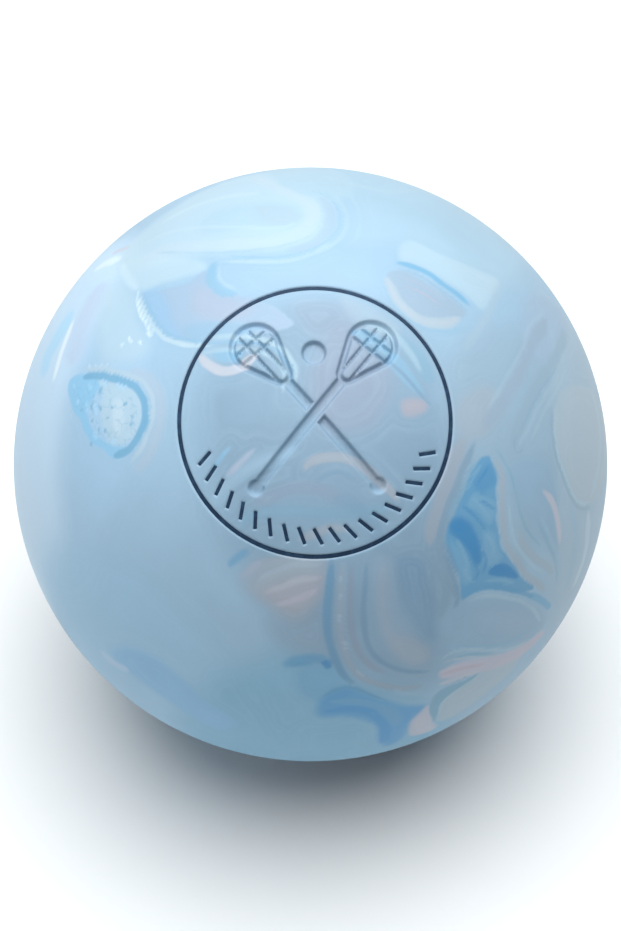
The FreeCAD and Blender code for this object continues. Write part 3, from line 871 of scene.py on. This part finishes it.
# The eye at the upper right.
PALE_LID = [(402, 246), (414, 242), (440, 254), (470, 267), (498, 279), (494, 292), (483, 310), (472, 300),
            (455, 286), (436, 274), (418, 265), (401, 260)]
LILAC_IRIS = [(388, 272), (410, 272), (432, 284), (452, 299), (466, 313), (454, 320), (435, 321),
              (417, 315), (404, 303), (394, 290)]
IRIS_BLUE = [(396, 263), (411, 266), (426, 272), (441, 282), (456, 293), (473, 308)]
IRIS_LIGHT = [(392, 269), (412, 274), (430, 285), (448, 300)]
IRIS_PINK = [(392, 276), (414, 281), (432, 291), (450, 306)]
IRIS_ROSE = [(404, 283), (424, 292), (444, 306)]
CREAM_LID = [(386, 274), (392, 289), (400, 303), (413, 315), (429, 322), (446, 323), (462, 317)]
LID_SHADE = [(384, 282), (392, 300), (404, 314), (420, 325), (444, 332), (468, 328)]
BELOW_LID = [(470, 318), (490, 322), (486, 340), (470, 352)]
FALLING_LIGHT = [(498, 280), (492, 305), (478, 330), (462, 352)]
patch(PALE_LID, MILK, 0.6, 8)
patch(LILAC_IRIS, HEATHER, 0.75, 7)
stroke(CREAM_LID, (PEARL, 12, 1.0, 5, 0), **band)
stroke(CREAM_LID, (SHELL, 4, 0.5, 3.5, 0), taper=30)
stroke(LID_SHADE, (SEA, 5, 0.4, 5, 0), **ground)
stroke(IRIS_BLUE, (TURQUOISE, 7, 1.0, 4, 0), (DENIM, 3, 0.5, 3, -9), layer="core", taper=14)
stroke(IRIS_LIGHT, (SKY, 3.5, 0.7, 3, 0))
stroke(IRIS_PINK, (THISTLE, 3, 0.8, 2.5, 0))
stroke(IRIS_ROSE, (ROSE, 3, 0.5, 2.5, -2))
stroke(BELOW_LID, (LILAC, 12, 0.4, 10, 0), **ground)
stroke(FALLING_LIGHT, (PEARL, 8, 0.4, 7, 0))

# The folds that run down the right side.
FOLD_LILAC = [(524, 304), (545, 296), (566, 322), (560, 350), (540, 362), (524, 340)]
LILAC_RIBBON = [(546, 318), (530, 346), (518, 376), (500, 404), (482, 430)]
BLUE_RIBBON = [(566, 330), (552, 362), (534, 392), (520, 420), (512, 450)]
FINE_FOLD = [(567, 366), (557, 388), (546, 408), (536, 428), (530, 441)]
WEDGE_EDGE = [(545, 312), (530, 325), (525, 345), (514, 366), (500, 389), (486, 411)]
HOOK_FOLD = [(558, 364), (545, 385), (535, 401), (525, 420), (515, 440), (518, 452), (527, 444)]
PALE_FOLD = [(455, 408), (480, 386), (502, 400), (488, 432), (462, 440)]
LOBE = [(556, 402), (572, 386), (596, 396), (606, 436), (604, 478), (594, 502), (580, 504), (568, 484),
        (560, 456), (554, 430)]
LOBE_EDGE = [(553, 404), (556, 440), (564, 472), (578, 502), (592, 503)]
LOBE_LILAC = [(592, 392), (600, 430), (598, 470), (590, 500)]
BLUE_FIELD = [(506, 474), (522, 458), (545, 460), (556, 486), (556, 520), (556, 556), (542, 540),
              (530, 520), (514, 500)]
SHELL_CRESCENT = [(541, 489), (550, 499), (556, 513), (559, 528), (560, 546)]
LIMB_LIGHT_BAND = [(570, 500), (576, 540), (566, 590)]
LIMB_LILAC_BAND = [(588, 510), (586, 550), (572, 590)]
LOW_FOLD = [(536, 520), (548, 545), (556, 566), (556, 586)]
patch(FOLD_LILAC, LILAC, 0.75, 18, **ground)
patch(PALE_FOLD, OAT, 0.7, 18, **ground)
stroke(LILAC_RIBBON, (HEATHER, 16, 0.9, 9, 0), **band)
stroke(BLUE_RIBBON, (HAZE, 13, 0.8, 8, 0), **band)
stroke(WEDGE_EDGE, (MIST, 5, 0.45, 5, 0), (HEATHER, 6, 0.5, 5, 8))
stroke(FINE_FOLD, (MIST, 5, 0.4, 4.5, 0))
stroke(HOOK_FOLD, (DENIM, 3.5, 0.6, 3, 0), (MIST, 4, 0.35, 4, 7))
patch(LOBE, PEARL, 0.95, 8)
stroke(LOBE_EDGE, (MIST, 4, 0.9, 3, 0), (DUSK, 4, 0.4, 3, -5))
stroke(LOBE_LILAC, (MIST, 10, 0.8, 7, 0), **band)
patch(BLUE_FIELD, STEEL, 0.95, 16, **ground)
stroke(SHELL_CRESCENT, (BLUSH, 8, 0.8, 4, 0))
stroke(LIMB_LIGHT_BAND, (SKY, 9, 0.8, 6, 0), **band)
stroke(LIMB_LILAC_BAND, (MILK, 14, 0.8, 8, 0), **band)
stroke(LOW_FOLD, (LAGOON, 4, 0.5, 4, 0), (SKY, 5, 0.7, 4, 6))

# The deep blue spindle and the bands round it.
PINK_EDGE = [(466, 436), (456, 456), (447, 482), (440, 504), (433, 526), (430, 548)]
GREY_EDGE = [(476, 440), (465, 464), (456, 488), (448, 510), (442, 534), (443, 556), (450, 580), (457, 602)]
SPINDLE = [(479, 460), (484, 456), (490, 457), (494, 466), (498, 478), (497, 492), (498, 506), (496, 518),
           (499, 534), (500, 547), (505, 554), (511, 561), (517, 570), (524, 579), (534, 588), (522, 592),
           (502, 590), (482, 590), (468, 596), (461, 600), (460, 584), (457, 570), (452, 555), (448, 540),
           (449, 528), (454, 518), (459, 504), (465, 488), (471, 474)]
SPINDLE_PALE = [(474, 494), (484, 496), (496, 502), (495, 514), (490, 524), (478, 512), (468, 506)]
SPINDLE_WEST = [(452, 540), (460, 548), (468, 560), (472, 578), (464, 586), (459, 572), (454, 556)]
SPINDLE_EAST = [(484, 530), (494, 534), (498, 550), (502, 558), (490, 566), (484, 556)]
SPINDLE_DARK = [(451, 523), (458, 517), (468, 522), (476, 534), (481, 548), (481, 562), (475, 564),
                (468, 551), (459, 540), (452, 532)]
SPINDLE_PEAK = [(474, 484), (480, 472), (488, 464), (495, 472), (497, 482), (490, 489), (480, 493)]
SPINDLE_KNOT = [(489, 574), (494, 566), (503, 564), (511, 568), (518, 577), (504, 577)]
PALE_STREAKS = [[(470, 498), (482, 506), (492, 520)], [(455, 536), (463, 550), (470, 570)],
                [(486, 532), (492, 544), (493, 560)], [(466, 492), (474, 478), (482, 464)],
                [(463, 566), (468, 578), (476, 584)]]
DARK_STREAKS = [[(479, 500), (488, 504), (497, 511)], [(461, 505), (471, 513), (481, 523), (488, 532)],
                [(482, 548), (486, 562), (482, 576)], [(472, 560), (478, 572), (474, 584)],
                [(490, 462), (484, 476), (474, 490)]]
TEAL_SHORE = [(476, 459), (468, 476), (461, 492), (454, 508), (448, 522)]
WEST_SHORE = [(447, 540), (452, 558), (459, 578)]
UNDER_KNOT = [(484, 581), (500, 580), (516, 583)]
EAST_EDGE = [(496, 458), (502, 474), (503, 498), (503, 524), (507, 546), (516, 560), (528, 576), (546, 592)]
EAST_LIGHT = [(509, 500), (510, 524), (516, 544), (528, 560), (544, 576)]
EAST_THREAD = [(494, 446), (505, 462), (511, 476), (515, 494), (520, 514), (528, 532), (542, 548)]
EAST_BLUSH = [(516, 528), (524, 546), (538, 560), (554, 574)]
WEST_TAIL = [(444, 552), (451, 574), (457, 596), (454, 610)]
SILL = [(462, 595), (480, 588), (500, 587), (518, 591), (534, 598)]
SILL_END = [(528, 595), (540, 600), (551, 607)]
SILL_LIGHT = [(466, 601), (482, 596), (500, 596), (520, 601), (534, 611), (541, 622)]
stroke(PINK_EDGE, (CREAM, 17, 0.8, 9, 0), **band)
stroke(GREY_EDGE, (DUSK, 8, 1.0, 4, 0))
patch(SPINDLE, AZURE, 1.0, 5, **band)
patch(SPINDLE_PALE, SEA, 0.5, 6, layer="core")
patch(SPINDLE_WEST, SEA, 0.45, 7, layer="core")
patch(SPINDLE_EAST, SEA, 0.5, 7, layer="core")
patch(SPINDLE_PEAK, COBALT, 0.4, 10, layer="core")
patch(SPINDLE_DARK, COBALT, 0.95, 8, layer="core")
patch(SPINDLE_KNOT, COBALT, 1.0, 4, layer="core")
for streak in PALE_STREAKS:
    stroke(streak, (SEA, 4, 0.6, 3.5, 0))
for streak in DARK_STREAKS:
    stroke(streak, (COBALT, 3.5, 0.55, 3, 0))
stroke(TEAL_SHORE, (LAGOON, 5, 0.9, 3.5, 0))
stroke(WEST_SHORE, (DEEP, 4, 0.9, 3, 0))
stroke(UNDER_KNOT, (SEA, 3.5, 0.7, 3, 0))
stroke(EAST_EDGE, (OAT, 8, 0.7, 5, 0), **band)
stroke(EAST_LIGHT, (MIST, 4, 0.6, 3.5, 0))
stroke(EAST_THREAD, (LAGOON, 3.5, 0.7, 3, 0))
stroke(EAST_BLUSH, (OAT, 8, 0.6, 6, 0), **band)
stroke(WEST_TAIL, (SLATE, 6, 0.8, 4, 0), taper=8)
stroke(SILL, (AZURE, 6, 0.9, 3.5, 0), taper=10)
stroke(SILL_END, (TURQUOISE, 8, 0.9, 4, 0), layer="core", taper=6)
stroke(SILL_LIGHT, (MIST, 4.5, 0.7, 4, 0))

# The oval fold below it, and the rose streak.
OVAL = [(464, 604), (480, 597), (500, 595), (520, 599), (541, 611), (543, 625), (528, 640), (505, 648),
        (480, 650), (455, 646), (438, 640), (434, 624), (446, 611)]
OVAL_HEART = [(476, 612), (500, 606), (524, 612), (530, 626), (505, 634), (480, 630)]
OVAL_SHADE = [(440, 646), (470, 646), (505, 644), (532, 628)]
SAGE_WAVE = [(438, 662), (446, 655), (458, 650), (474, 649), (500, 650), (516, 647), (530, 638)]
TEAL_WAVE = [(446, 660), (462, 656), (480, 654), (498, 655)]
ROSE_STREAK = [(436, 675), (450, 672), (466, 668), (484, 665), (504, 659), (524, 649), (546, 630)]
ROSE_TOP = [(438, 665), (450, 660), (466, 658), (484, 657), (502, 653)]
ROSE_FOOT = [(438, 684), (450, 681), (466, 675), (484, 669)]
ROSE_CREASE = [(438, 676), (452, 671), (468, 667), (486, 663)]
LOW_TEAL = [(429, 712), (432, 700), (440, 691), (452, 685), (467, 679), (478, 672), (470, 682), (454, 692),
            (443, 702), (437, 714), (434, 722)]
LOW_DARK = [(428, 704), (434, 696), (444, 688), (458, 681), (472, 675)]
LOW_SAGE = [(437, 720), (441, 704), (453, 692), (470, 680), (490, 667), (512, 654), (524, 652), (508, 674),
            (488, 692), (466, 708), (450, 718)]
LOW_LIGHT = [(438, 716), (442, 704), (453, 693), (468, 683), (484, 673)]
LOW_ROSE = [(456, 702), (468, 692), (484, 682)]
BLOB = [(408, 729), (411, 720), (419, 712), (427, 706), (431, 713), (433, 721), (437, 726), (430, 731),
        (420, 734), (411, 735)]
patch(OVAL, STEEL, 0.9, 20, **ground)
patch(OVAL_HEART, LILAC, 0.5, 14, **band)
stroke(OVAL_SHADE, (SEA, 5, 0.6, 4, 0))
stroke(TEAL_WAVE, (LAGOON, 5, 0.8, 4, 0), **band)
stroke(SAGE_WAVE, (MIST, 4.5, 0.65, 3.5, 0))
stroke(ROSE_STREAK, (PETAL, 22, 1.0, 7, 0), layer="core")
stroke(ROSE_TOP, (SHELL, 4, 0.6, 3.5, 0))
stroke(ROSE_FOOT, (SHELL, 6, 0.9, 4, 0), taper=8)
stroke(ROSE_CREASE, (ROSE, 5, 0.9, 4, 0))
patch(LOW_SAGE, PEARL, 0.9, 6)
patch(LOW_TEAL, LAGOON, 0.95, 5, layer="core")
stroke(LOW_DARK, (DENIM, 3, 0.6, 3, 0), taper=8)
stroke(LOW_LIGHT, (MIST, 4, 0.9, 3.5, 0))
stroke(LOW_ROSE, (SHELL, 8, 0.4, 6, 0), **band)
patch(BLOB, BLUSH, 0.9, 7)

# The long loop of bands below the ring.
LOOP_BLUE = [(398, 560), (424, 560), (434, 600), (436, 640), (412, 622), (400, 596)]
LOOP_CREAM = [(374, 560), (394, 562), (398, 612), (418, 642), (424, 662), (396, 656), (380, 620)]
LOOP_BOTTOM = [(392, 640), (408, 638), (426, 646), (430, 658), (414, 664), (398, 656)]
OUTER_LOOP = [(333, 556), (330, 584), (328, 612), (329, 638), (335, 658), (344, 674), (358, 685)]
LOOP_FOOT = [(352, 681), (370, 691), (396, 697), (424, 699)]
CREAM_LOOP = [(344, 558), (341, 590), (340, 620), (343, 645), (353, 666), (370, 681), (396, 688), (426, 687)]
BEADS_ON_LOOP = [[(341, 574), (341, 582)], [(340, 592), (341, 602)], [(339, 612), (340, 622)],
                 [(344, 640), (348, 650)], [(357, 668), (364, 676)]]
SECOND_LOOP = [(352, 560), (350, 600), (353, 634), (364, 657), (386, 674)]
SLATE_LOOP = [(367, 558), (364, 598), (365, 628), (372, 650), (388, 665), (406, 671), (432, 672)]
INNER_LOOP = [(384, 560), (382, 600), (388, 632), (404, 656)]
RIGHT_EDGE = [(440, 566), (446, 590), (440, 620)]
LOOP_END = [(392, 690), (410, 694), (428, 690)]
patch(LOOP_BLUE, SLATE, 0.95, 18, **ground)
patch(LOOP_CREAM, STONE, 0.7, 14, **ground)
patch(LOOP_BOTTOM, CREAM, 0.7, 14, **ground)
stroke(OUTER_LOOP, (DEEP, 8, 1.0, 4.5, 0))
stroke(LOOP_FOOT, (SEA, 6, 0.7, 5, 0))
stroke(CREAM_LOOP, (STONE, 9, 0.9, 5, 0), **band)
stroke(SECOND_LOOP, (MAUVE, 7, 0.8, 5, 0), **band)
stroke(CREAM_LOOP, (CREAM, 4, 0.5, 3, 0))
for bead in BEADS_ON_LOOP:
    stroke(bead, (CHALK, 4, 0.2, 3, 0), taper=4)
stroke(SECOND_LOOP, (HAZE, 3, 0.5, 3, -6))
stroke(SLATE_LOOP, (SLATE, 6, 1.0, 4, 0))
stroke(INNER_LOOP, (CREAM, 12, 0.4, 9, 0), **ground)
stroke(RIGHT_EDGE, (DUSK, 8, 0.8, 6, 0), **ground)
stroke(LOOP_END, (SKY, 5, 0.7, 4, 0))

# The rose cloud left of it and the deep blue below.
CLOUD_FIELD = [(244, 582), (258, 568), (290, 562), (325, 560), (323, 580), (318, 602), (302, 620),
               (284, 618), (268, 606), (252, 594)]
ROSE_CLOUD = [(262, 592), (276, 585), (300, 578), (322, 574), (321, 590), (312, 603), (298, 611),
              (284, 609), (271, 602)]
CLOUD_STREAKS = [([(262, 594), (282, 588), (302, 580), (323, 577)], SHELL),
                 ([(274, 606), (290, 602), (306, 596), (320, 588)], PETAL),
                 ([(256, 582), (272, 573), (298, 566), (324, 564)], PEARL)]
UNDER_CLOUD = [(270, 620), (300, 626), (322, 616), (322, 650), (296, 652), (276, 640)]
CLOUD_CREAM = [(242, 574), (264, 564), (292, 562), (324, 563)]
CLOUD_SAGE = [(252, 592), (272, 578), (300, 571), (322, 572)]
CLOUD_LEFT = [(238, 580), (252, 568), (262, 562)]
BLUE_TUFT = [(228, 568), (238, 558), (250, 550)]
LOW_BLUE = [(282, 666), (298, 660), (316, 658), (334, 664)]
LOW_BLUE_CORE = [(288, 666), (300, 663), (316, 663)]
LOW_BLUE_KNOT = [(322, 660), (327, 664), (331, 670)]
DEEP_FIELD = [(318, 704), (332, 692), (350, 687), (366, 694), (386, 701), (408, 705), (424, 707),
              (410, 722), (402, 738), (386, 746), (378, 738), (376, 726), (362, 719), (342, 716), (320, 716)]
DEEP_MIDDLE = [(330, 702), (352, 698), (374, 703), (398, 708), (400, 722), (392, 726), (380, 712),
               (358, 706)]
DEEP_TOP = [(320, 700), (336, 690), (352, 687), (368, 694), (390, 701)]
DEEP_HOOK = [(322, 712), (345, 709), (366, 711), (380, 719), (385, 732), (383, 744)]
DEEP_LIGHT = [(324, 704), (350, 700), (378, 704), (398, 716)]
PALE_POOL = [(330, 726), (356, 722), (372, 730), (370, 748), (340, 758), (300, 754), (300, 730)]
BLUE_MIST = [(300, 668), (334, 666), (350, 682), (346, 696), (320, 702), (300, 692)]
LEFT_BLUE = [(110, 650), (140, 650), (172, 670), (204, 700), (234, 722), (214, 728), (180, 708),
             (148, 686), (124, 668)]
LEFT_SHELL = [(98, 648), (112, 662), (130, 670)]
patch(UNDER_CLOUD, STONE, 0.7, 24, **ground)
patch(CLOUD_FIELD, CREAM, 0.9, 26, **ground)
patch(ROSE_CLOUD, DUSTY, 0.7, 20, **ground)
for streak, pigment in CLOUD_STREAKS:
    stroke(streak, (pigment, 7, 0.6, 5, 0), layer="core")
stroke(CLOUD_CREAM, (CREAM, 12, 0.8, 9, 0), **ground)
stroke(CLOUD_SAGE, (OAT, 6, 1.0, 5, 0))
stroke(CLOUD_LEFT, (THISTLE, 7, 0.8, 5, 0))
stroke(BLUE_TUFT, (AZURE, 7, 0.7, 6, 0), taper=8)
patch(BLUE_MIST, TURQUOISE, 0.85, 16, **ground)
stroke(LOW_BLUE, (AZURE, 12, 0.8, 8, 0), **band)
stroke(LOW_BLUE_CORE, (AZURE, 5, 0.7, 5, 0))
stroke(LOW_BLUE_KNOT, (COBALT, 8, 0.8, 5, 0), taper=5)
patch(DEEP_FIELD, CERULEAN, 0.8, 14, **band)
patch(DEEP_MIDDLE, TURQUOISE, 0.5, 8, layer="core")
stroke(DEEP_TOP, (AZURE, 5, 0.9, 4, 0))
stroke(DEEP_LIGHT, (TURQUOISE, 4, 0.4, 4, 0))
stroke(DEEP_HOOK, (CERULEAN, 11, 1.0, 5, 0))
patch(PALE_POOL, WATER, 0.9, 14, **ground)
patch(LEFT_BLUE, BLUE, 0.9, 20, **ground)
stroke(LEFT_SHELL, (LAVENDER, 12, 0.6, 9, 0))

# ---------------------------------------------------------------- the sides and the back

draw = np.random.default_rng(31)
TO_CAMERA = camera_axes()[3]
CREAMS = [MILK, SAGE, SHELL, CREAM, MIST, PEARL, IVORY, PETAL]
BLUES = [TURQUOISE, LAGOON, SLATE, BLUE, DENIM, SEA, MAUVE]
CLOUDS = [LILAC, DUSTY, MIST, SAGE, DUSK, STONE, AQUA, PALE_SKY, CREAM, HEATHER]
DEPTHS = [AZURE, CERULEAN, COBALT]


def fold_height(points):
    """A smooth field whose level lines run beside one another, like strips folded together."""
    bent = points + 3.5 * soft_waves(points, 30.0, 5) + 1.0 * soft_waves(points, 11.0, 6)
    return soft_waves(bent, 42.0, 8)[:, 0]


# The folds fade in where the photograph ends, and come and go in broad stretches.
far = np.nonzero(marbling.normals @ TO_CAMERA < 0.02)[0]
outward = marbling.normals[far]
places = marbling.points[far]
height = fold_height(places)
slope = np.stack([(fold_height(places + step) - height) / 0.2 for step in np.eye(3) * 0.2], axis=1)
slope -= (slope * outward).sum(1, keepdims=True) * outward
steepness = np.maximum(np.linalg.norm(slope, axis=1), 0.035)
hidden = np.clip((0.02 - outward @ TO_CAMERA) / 0.16, 0, 1)
lively = np.clip(0.6 + 1.0 * soft_waves(places, 52.0, 9)[:, 0], 0, 1)


def fold(level, pigment, width, strength, soft, layer):
    """A band of pigment along one level line of the folds."""
    inside = width / 2 / PIXELS_PER_MM - np.abs(height - level) / steepness
    marbling.lay(layer, far, inside, soft / PIXELS_PER_MM, pigment, strength * hidden * lively)


def unseen_place():
    """A random direction from the ball's centre to the side that the photograph doesn't show."""
    while True:
        place = draw.normal(size=3)
        place /= np.linalg.norm(place)
        if place @ TO_CAMERA < -0.12:
            return place


def ring_round(place, across, radius, stretch):
    """A wobbly closed curve round a place on the ball, longer along one direction."""
    across = np.cross(place, across)
    across /= np.linalg.norm(across)
    upward = np.cross(place, across)
    outline = []
    for step in range(11):
        angle = step / 11 * 2 * math.pi
        reach = radius * draw.uniform(0.85, 1.15)
        offset = across * math.cos(angle) * reach * stretch + upward * math.sin(angle) * reach
        outline.append(place * RADIUS + offset)
    return outline


def pick(pigments):
    return pigments[draw.integers(len(pigments))]


for _ in range(18):
    stain = ring_round(unseen_place(), draw.normal(size=3), draw.uniform(5, 10), draw.uniform(1, 1.8))
    patch(stain, pick(CLOUDS), draw.uniform(0.4, 0.8), 60, **ground)
for level in np.arange(-2.0, 2.0, 0.17):
    fold(level, pick(CLOUDS), 24, draw.uniform(0.4, 0.9), 16, "ground")
for level in np.arange(-1.9, 2.0, 0.3):
    level += draw.uniform(-0.06, 0.06)
    fold(level, pick(CREAMS), draw.uniform(8, 16), draw.uniform(0.6, 1), draw.uniform(5, 9), "band")
    fold(level + 0.1, pick(BLUES), draw.uniform(4, 8), draw.uniform(0.4, 0.9), 4, "line")
    fold(level + 0.2, pick(CREAMS), draw.uniform(3.5, 7), draw.uniform(0.3, 0.8), 4, "line")
for _ in range(9):
    place, across = unseen_place(), draw.normal(size=3)
    size, stretch = draw.uniform(1.6, 3.4), draw.uniform(1.3, 2.4)
    patch(ring_round(place, across, size, stretch), pick(DEPTHS), 0.95, 6, **band)
    patch(ring_round(place, across, size * 0.5, stretch), pick(DEPTHS), 0.8, 10, layer="core")
    rim = ring_round(place, across, size * 1.25, stretch)
    stroke(rim, (pick(CREAMS), 7, 0.7, 5, 0), closed=True)
for _ in range(12):
    island = ring_round(unseen_place(), draw.normal(size=3), draw.uniform(1.4, 4), draw.uniform(1, 2))
    patch(island, pick(CREAMS), draw.uniform(0.4, 0.8), 12)
    stroke(island, (pick(BLUES), 6, 0.6, 5, 0), closed=True)

marbling.write(ball.data)

# ---------------------------------------------------------------- finishes


class Wire:
    """A node's output that can be used in sums."""

    def __init__(self, finish, socket):
        self.finish = finish
        self.socket = socket

    def sum(self, operation, first, second):
        return self.finish.node("Math", {"operation": operation}, {0: first, 1: second})

    def __add__(self, other):
        return self.sum("ADD", self, other)

    def __sub__(self, other):
        return self.sum("SUBTRACT", self, other)

    def __rsub__(self, other):
        return self.sum("SUBTRACT", other, self)

    def __mul__(self, other):
        return self.sum("MULTIPLY", self, other)

    __radd__ = __add__
    __rmul__ = __mul__


class Finish:
    """A material under construction, with its one surface shader."""

    def __init__(self, name):
        self.material = bpy.data.materials.new(name)
        self.material.use_nodes = True
        self.tree = self.material.node_tree
        self.shader = self.tree.nodes["Principled BSDF"]

    def feed(self, socket, value):
        if isinstance(value, Wire):
            self.tree.links.new(value.socket, socket)
        else:
            socket.default_value = value

    def node(self, kind, settings=None, sockets=None, output=0):
        made = self.tree.nodes.new("ShaderNode" + kind)
        for name, value in (settings or {}).items():
            setattr(made, name, value)
        for name, value in (sockets or {}).items():
            self.feed(made.inputs[name], value)
        return Wire(self, made.outputs[output])

    def attribute(self, name, output=2):
        return self.node("Attribute", {"attribute_name": name}, output=output)

    def smooth(self, value, low, high):
        return self.node(
            "MapRange",
            {"interpolation_type": "SMOOTHSTEP"},
            {"Value": value, "From Min": low, "From Max": high, "To Min": 0.0, "To Max": 1.0},
        )

    def noise(self, place, scale, detail=2.0, roughness=0.5):
        """Noise of about the given number of waves in a metre, 0 to 1."""
        return self.node(
            "TexNoise",
            {"noise_dimensions": "3D"},
            {"Vector": place, "Scale": scale, "Detail": detail, "Roughness": roughness},
        )

    def mix(self, first, second, share):
        """Colours mixed by a share of the second."""
        return self.node("Mix", {"data_type": "RGBA"}, {0: share, 6: first, 7: second}, output=2)

    def scale(self, colour, amount):
        return self.node("VectorMath", {"operation": "SCALE"}, {0: colour, "Scale": amount})

    def shift(self, place, amount):
        return self.node("VectorMath", {"operation": "ADD"}, {0: place, 1: amount})

    def surface(self, **sockets):
        for name, value in sockets.items():
            self.feed(self.shader.inputs[name.replace("_", " ").title()], value)

    def relief(self, height, distance, strength=1.0):
        return self.node("Bump", {}, {"Height": height, "Distance": distance, "Strength": strength})


def marbled_rubber_finish():
    rubber = Finish("marbled_rubber")
    place = rubber.node("TexCoord", output=3)
    ragged = rubber.noise(place, 1100.0, 2.0) - 0.5
    loose = rubber.noise(place, 300.0, 2.0) - 0.5
    cloud = rubber.noise(place, 90.0, 4.0, 0.55) - 0.5
    speck = rubber.noise(place, 5200.0, 1.0) - 0.5
    flow = rubber.attribute("flow") + loose * 1.6
    drift = rubber.node("CombineXYZ", {}, {0: flow, 1: cloud * 2.5, 2: 0.0})
    streak = rubber.noise(drift, 0.8, 2.5, 0.6) - 0.5
    paler = rubber.smooth(cloud + streak * 0.35, -0.16, 0.2) * 0.12
    colour = rubber.mix(rubber.attribute("ground_colour", 0), (*PALE_SKY, 1), paler)
    for layer, roughness in (("patch", 0.25), ("band", 0.2), ("core", 0.2), ("line", 0.12)):
        edge = rubber.attribute(layer + "_edge") + ragged * roughness + loose * roughness
        mask = rubber.smooth(edge, -0.5, 0.5) * rubber.attribute(layer + "_colour", 3)
        mask = mask * (1.0 + streak * 0.7)
        colour = rubber.mix(colour, rubber.attribute(layer + "_colour", 0), mask)
    cell = rubber.node(
        "TexVoronoi",
        {"feature": "DISTANCE_TO_EDGE"},
        {"Vector": rubber.shift(place, loose * 0.002), "Scale": 1300.0},
    )
    net = rubber.smooth(cell + ragged * 0.15, 0.13, 0.0) * rubber.attribute("veins")
    colour = rubber.mix(colour, (*TURQUOISE, 1), net * rubber.smooth(ragged, -0.04, 0.1) * 0.35)
    folded = rubber.smooth(rubber.attribute("flow"), 2.6, 0.6)
    colour = rubber.mix(colour, (*MILK, 1), rubber.smooth(streak, 0.0, 0.3) * folded * 0.14)
    tone = 1 + streak * folded * 0.12 + cloud * 0.13 + speck * 0.06
    grain = rubber.noise(place, 2400.0, 2.0)
    dimple = rubber.noise(place, 420.0, 2.0)
    rubber.surface(
        base_color=rubber.scale(colour, tone),
        roughness=0.50 + cloud * 0.10 + speck * 0.08,
        normal=rubber.relief(grain * 0.25 + dimple, 0.00002),
    )
    rubber.shader.inputs["Specular IOR Level"].default_value = 0.3
    return rubber.material


def dark_paint_finish():
    paint = Finish("dark_paint")
    place = paint.node("TexCoord", output=3)
    wear = paint.noise(place, 1500.0, 3.0)
    flat = paint.noise(place, 420.0, 2.0)
    colour = paint.mix((0.010, 0.032, 0.072, 1), (0.020, 0.055, 0.11, 1), paint.smooth(wear, 0.45, 0.75))
    paint.surface(
        base_color=paint.scale(colour, 0.75 + flat * 0.5),
        roughness=0.5 + wear * 0.2,
        normal=paint.relief(wear, 0.00002),
    )
    paint.shader.inputs["Specular IOR Level"].default_value = 0.25
    return paint.material


def floor_finish():
    board = Finish("pale_board")
    place = board.node("TexCoord", output=3)
    cloud = board.noise(place, 6.0, 2.0)
    board.surface(
        base_color=board.mix((0.83, 0.86, 0.865, 1), (0.87, 0.885, 0.885, 1), cloud),
        roughness=0.55 + cloud * 0.1,
    )
    return board.material


ball.data.materials.append(marbled_rubber_finish())
floor.data.materials.append(floor_finish())
dark_paint = dark_paint_finish()
for node in ("ring_paint", "notch_paint"):
    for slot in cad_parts[node].material_slots:
        slot.material = dark_paint

# ---------------------------------------------------------------- hand over

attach(ball, "root")
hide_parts("ball_body")
